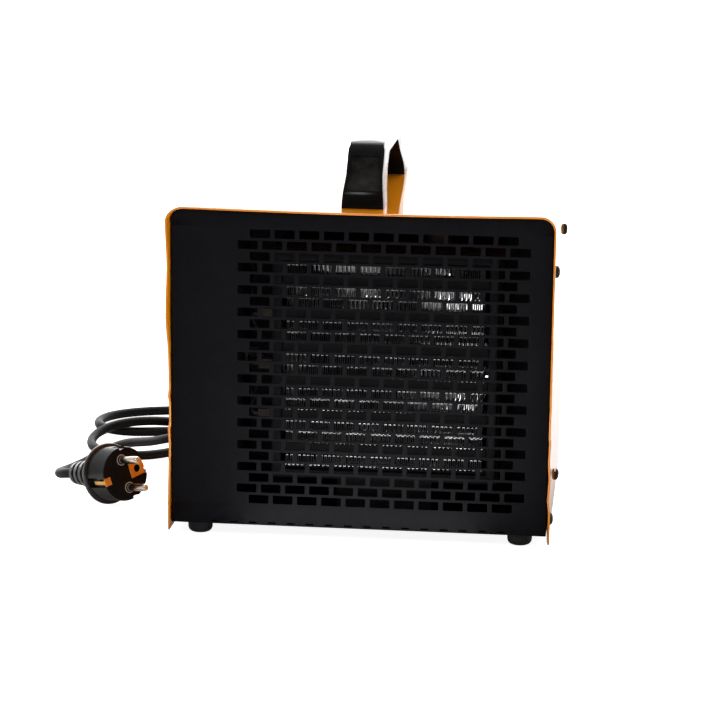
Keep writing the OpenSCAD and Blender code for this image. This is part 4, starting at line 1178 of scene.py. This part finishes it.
def makePlugMetal():
    c = plug
    face, pin, tip = c["face"], c["pin"], c["face"] + c["pinLength"]
    sides = [aheadX(0, 0, side * c["pinGap"] / 2) for side in (-1, 1)]
    pinRings = [(face - 1.6, pin), *((tip + along, pin + wider) for along, wider in plugMetal["tip"])]
    pair = setOut(turned("pin", pinRings, 40), "plug_pin_pair", sides)
    place(pair, plugSeat())
    finishPiece(pair, "nickel", "plug_pins", 40)
    collarRings = [(face + along, radius) for along, radius in plugMetal["collar"]]
    rims = setOut(turned("collar", collarRings, 40, closed=False), "pin_collars", sides)
    place(rims, plugSeat())
    finishPiece(rims, "collarGrey", angle=60)
    plate = faceBox("plate", *plugMetal["plate"])
    y, radius = plugMetal["hole"]
    drill(plate, radius, 0, 20, aheadX(10, y, 0), 40)
    roundEdges(plate, 0.4, 2, 40)
    straps = [faceBox(name, *plugMetal[name]) for name in ("strap", "tab", "side_strap")]
    metal = joinAll([plate, *straps], "plug_earth_metal")
    place(metal, plugSeat())
    roundEdges(metal, 0.22, 2, 40)
    finishPiece(metal, "brass", "plug_earth", 35)


makeCasing()
makeHandle()
print("casing and handle folded")
makeFrontPanel()
makeRearPanel()
softenParts()
print("sheets punched")
makeScrews()
makeFeet()
print("screws and feet fitted")
makeBars()
makeFins()
print("heating block stacked")
makeKnob("thermostat")
makeKnob("switch")
makeBoot()
makePlugBody()
makePlugMetal()
print("knobs, boot and plug moulded")


# finishes of the CAD nodes that stay
plainNodes = {
    # painted shade: the fan plate, duct and bracket are near black, standing in for the shade inside the
    # chassis
    "paintedShadeSheet": ("fan_plate", "air_duct", "duct_bracket"),
    "brightZinc": ("handle_screws", "motor_front_bearing", "motor_rear_bearing", "motor_screws"),
    "groundSteel": ("motor_rotor", "thermostat_spindle", "switch_spindle"),
    "ivory": ("thermostat", "terminal_block"),
    # painted shade: the terminals take the near-black brass
    "terminalShadeBrass": ("ptc_terminals",), "phenolic": ("thermal_cutout",), "zincSheet": ("motor_bracket",),
    "coreSteel": ("motor_stator",), "coilTape": ("motor_coil",), "bladeMetal": ("fan_blade",),
    "heatPlastic": ("mode_switch",), "brass": ("earth_stud",), "footRubber": ("grommets",),
    "wireSleeve": ("wiring",),
}
for finish, names in plainNodes.items():
    for name in names:
        paint(nodes[name], finish)
print("plain nodes dressed")


# studio: white all round, a bright sweep behind and soft lights in front
studio = {
    "sweep": {"place": (0, 2.6, 0.7), "size": (6.0, 2.6), "turn": (90, 0, 0), "glow": 3.0},
    "floor_glow": {"place": (0.3, 1.75, 0.004), "size": (5.0, 2.4), "glow": 2.6},
    "front_glow": {"place": (0.0, -0.29, 0.002), "size": (0.15, 0.35), "glow": 4.2},
    "key": {"place": (-0.3, -1.7, 1.3), "size": 0.5, "power": 8.0},
    "fill": {"place": (1.5, -0.9, 0.9), "size": 0.9, "power": 4.0},
    "top": {"place": (0.0, 1.3, 1.9), "size": 1.4, "power": 26.0},
    "aim": (0, 0, 0.1),
}


def glowMaterial(name, strength):
    material = bpy.data.materials.new(name)
    material.use_nodes = True
    tree = material.node_tree
    tree.nodes.clear()
    glow = addNode(tree, "ShaderNodeEmission", {"Strength": strength})
    addNode(tree, "ShaderNodeOutputMaterial", links={"Surface": glow.outputs["Emission"]})
    return material


def makeCard(name, look):
    card = startSheet(name, look["place"], look["size"], look.get("turn", (0, 0, 0)))
    card.data.materials.append(glowMaterial(name, look["glow"]))
    card.visible_camera = False
    card.visible_shadow = False


def makeLight(name, look):
    clearSelection()
    bpy.ops.object.light_add(type="AREA", location=look["place"])
    light = bpy.context.object
    light.name = name
    light.data.energy = look["power"]
    light.data.size = look["size"]
    aim = Vector(studio["aim"]) - Vector(look["place"])
    light.rotation_mode = "QUATERNION"
    light.rotation_quaternion = aim.to_track_quat("-Z", "Y")
    light.visible_camera = False


def makeFloor():
    floor = startSheet("floor", (0, 0, -0.0004), (16, 16))
    material = bpy.data.materials.new("paleFloor")
    material.use_nodes = True
    tree = material.node_tree
    shader = tree.nodes["Principled BSDF"]
    shader.inputs["Base Color"].default_value = (0.8, 0.8, 0.8, 1)
    shader.inputs["Roughness"].default_value = 0.8
    shader.inputs["Emission Color"].default_value = (1, 1, 1, 1)
    # white to the camera, plain to every other ray
    seen = addNode(tree, "ShaderNodeLightPath").outputs["Is Camera Ray"]
    tree.links.new(ranged(tree, seen, 0.0, 1.0, 0.0, 0.9), shader.inputs["Emission Strength"])
    floor.data.materials.append(material)


def makeWorld():
    world = bpy.data.worlds.new("studio")
    scene.world = world
    world.use_nodes = True
    tree = world.node_tree
    back = tree.nodes["Background"]
    back.inputs["Color"].default_value = (1, 1, 1, 1)
    # bright behind the object, dim behind the camera
    around = addNode(tree, "ShaderNodeTexCoord").outputs["Generated"]
    way = addNode(tree, "ShaderNodeSeparateXYZ", links={"Vector": around})
    behind = ranged(tree, way.outputs["Y"], -0.7, 0.3, 0.07, 0.8)
    seen = addNode(tree, "ShaderNodeLightPath").outputs["Is Camera Ray"]
    level = addNode(tree, "ShaderNodeMath", operation="MAXIMUM", links={0: behind, 1: seen})
    tree.links.new(level.outputs["Value"], back.inputs["Strength"])


makeWorld()
makeFloor()
for card in ("sweep", "floor_glow", "front_glow"):
    makeCard(card, studio[card])
for lamp in ("key", "fill", "top"):
    makeLight(lamp, studio[lamp])
scene.view_settings.view_transform = "Standard"
scene.view_settings.look = "None"
print("studio lit")
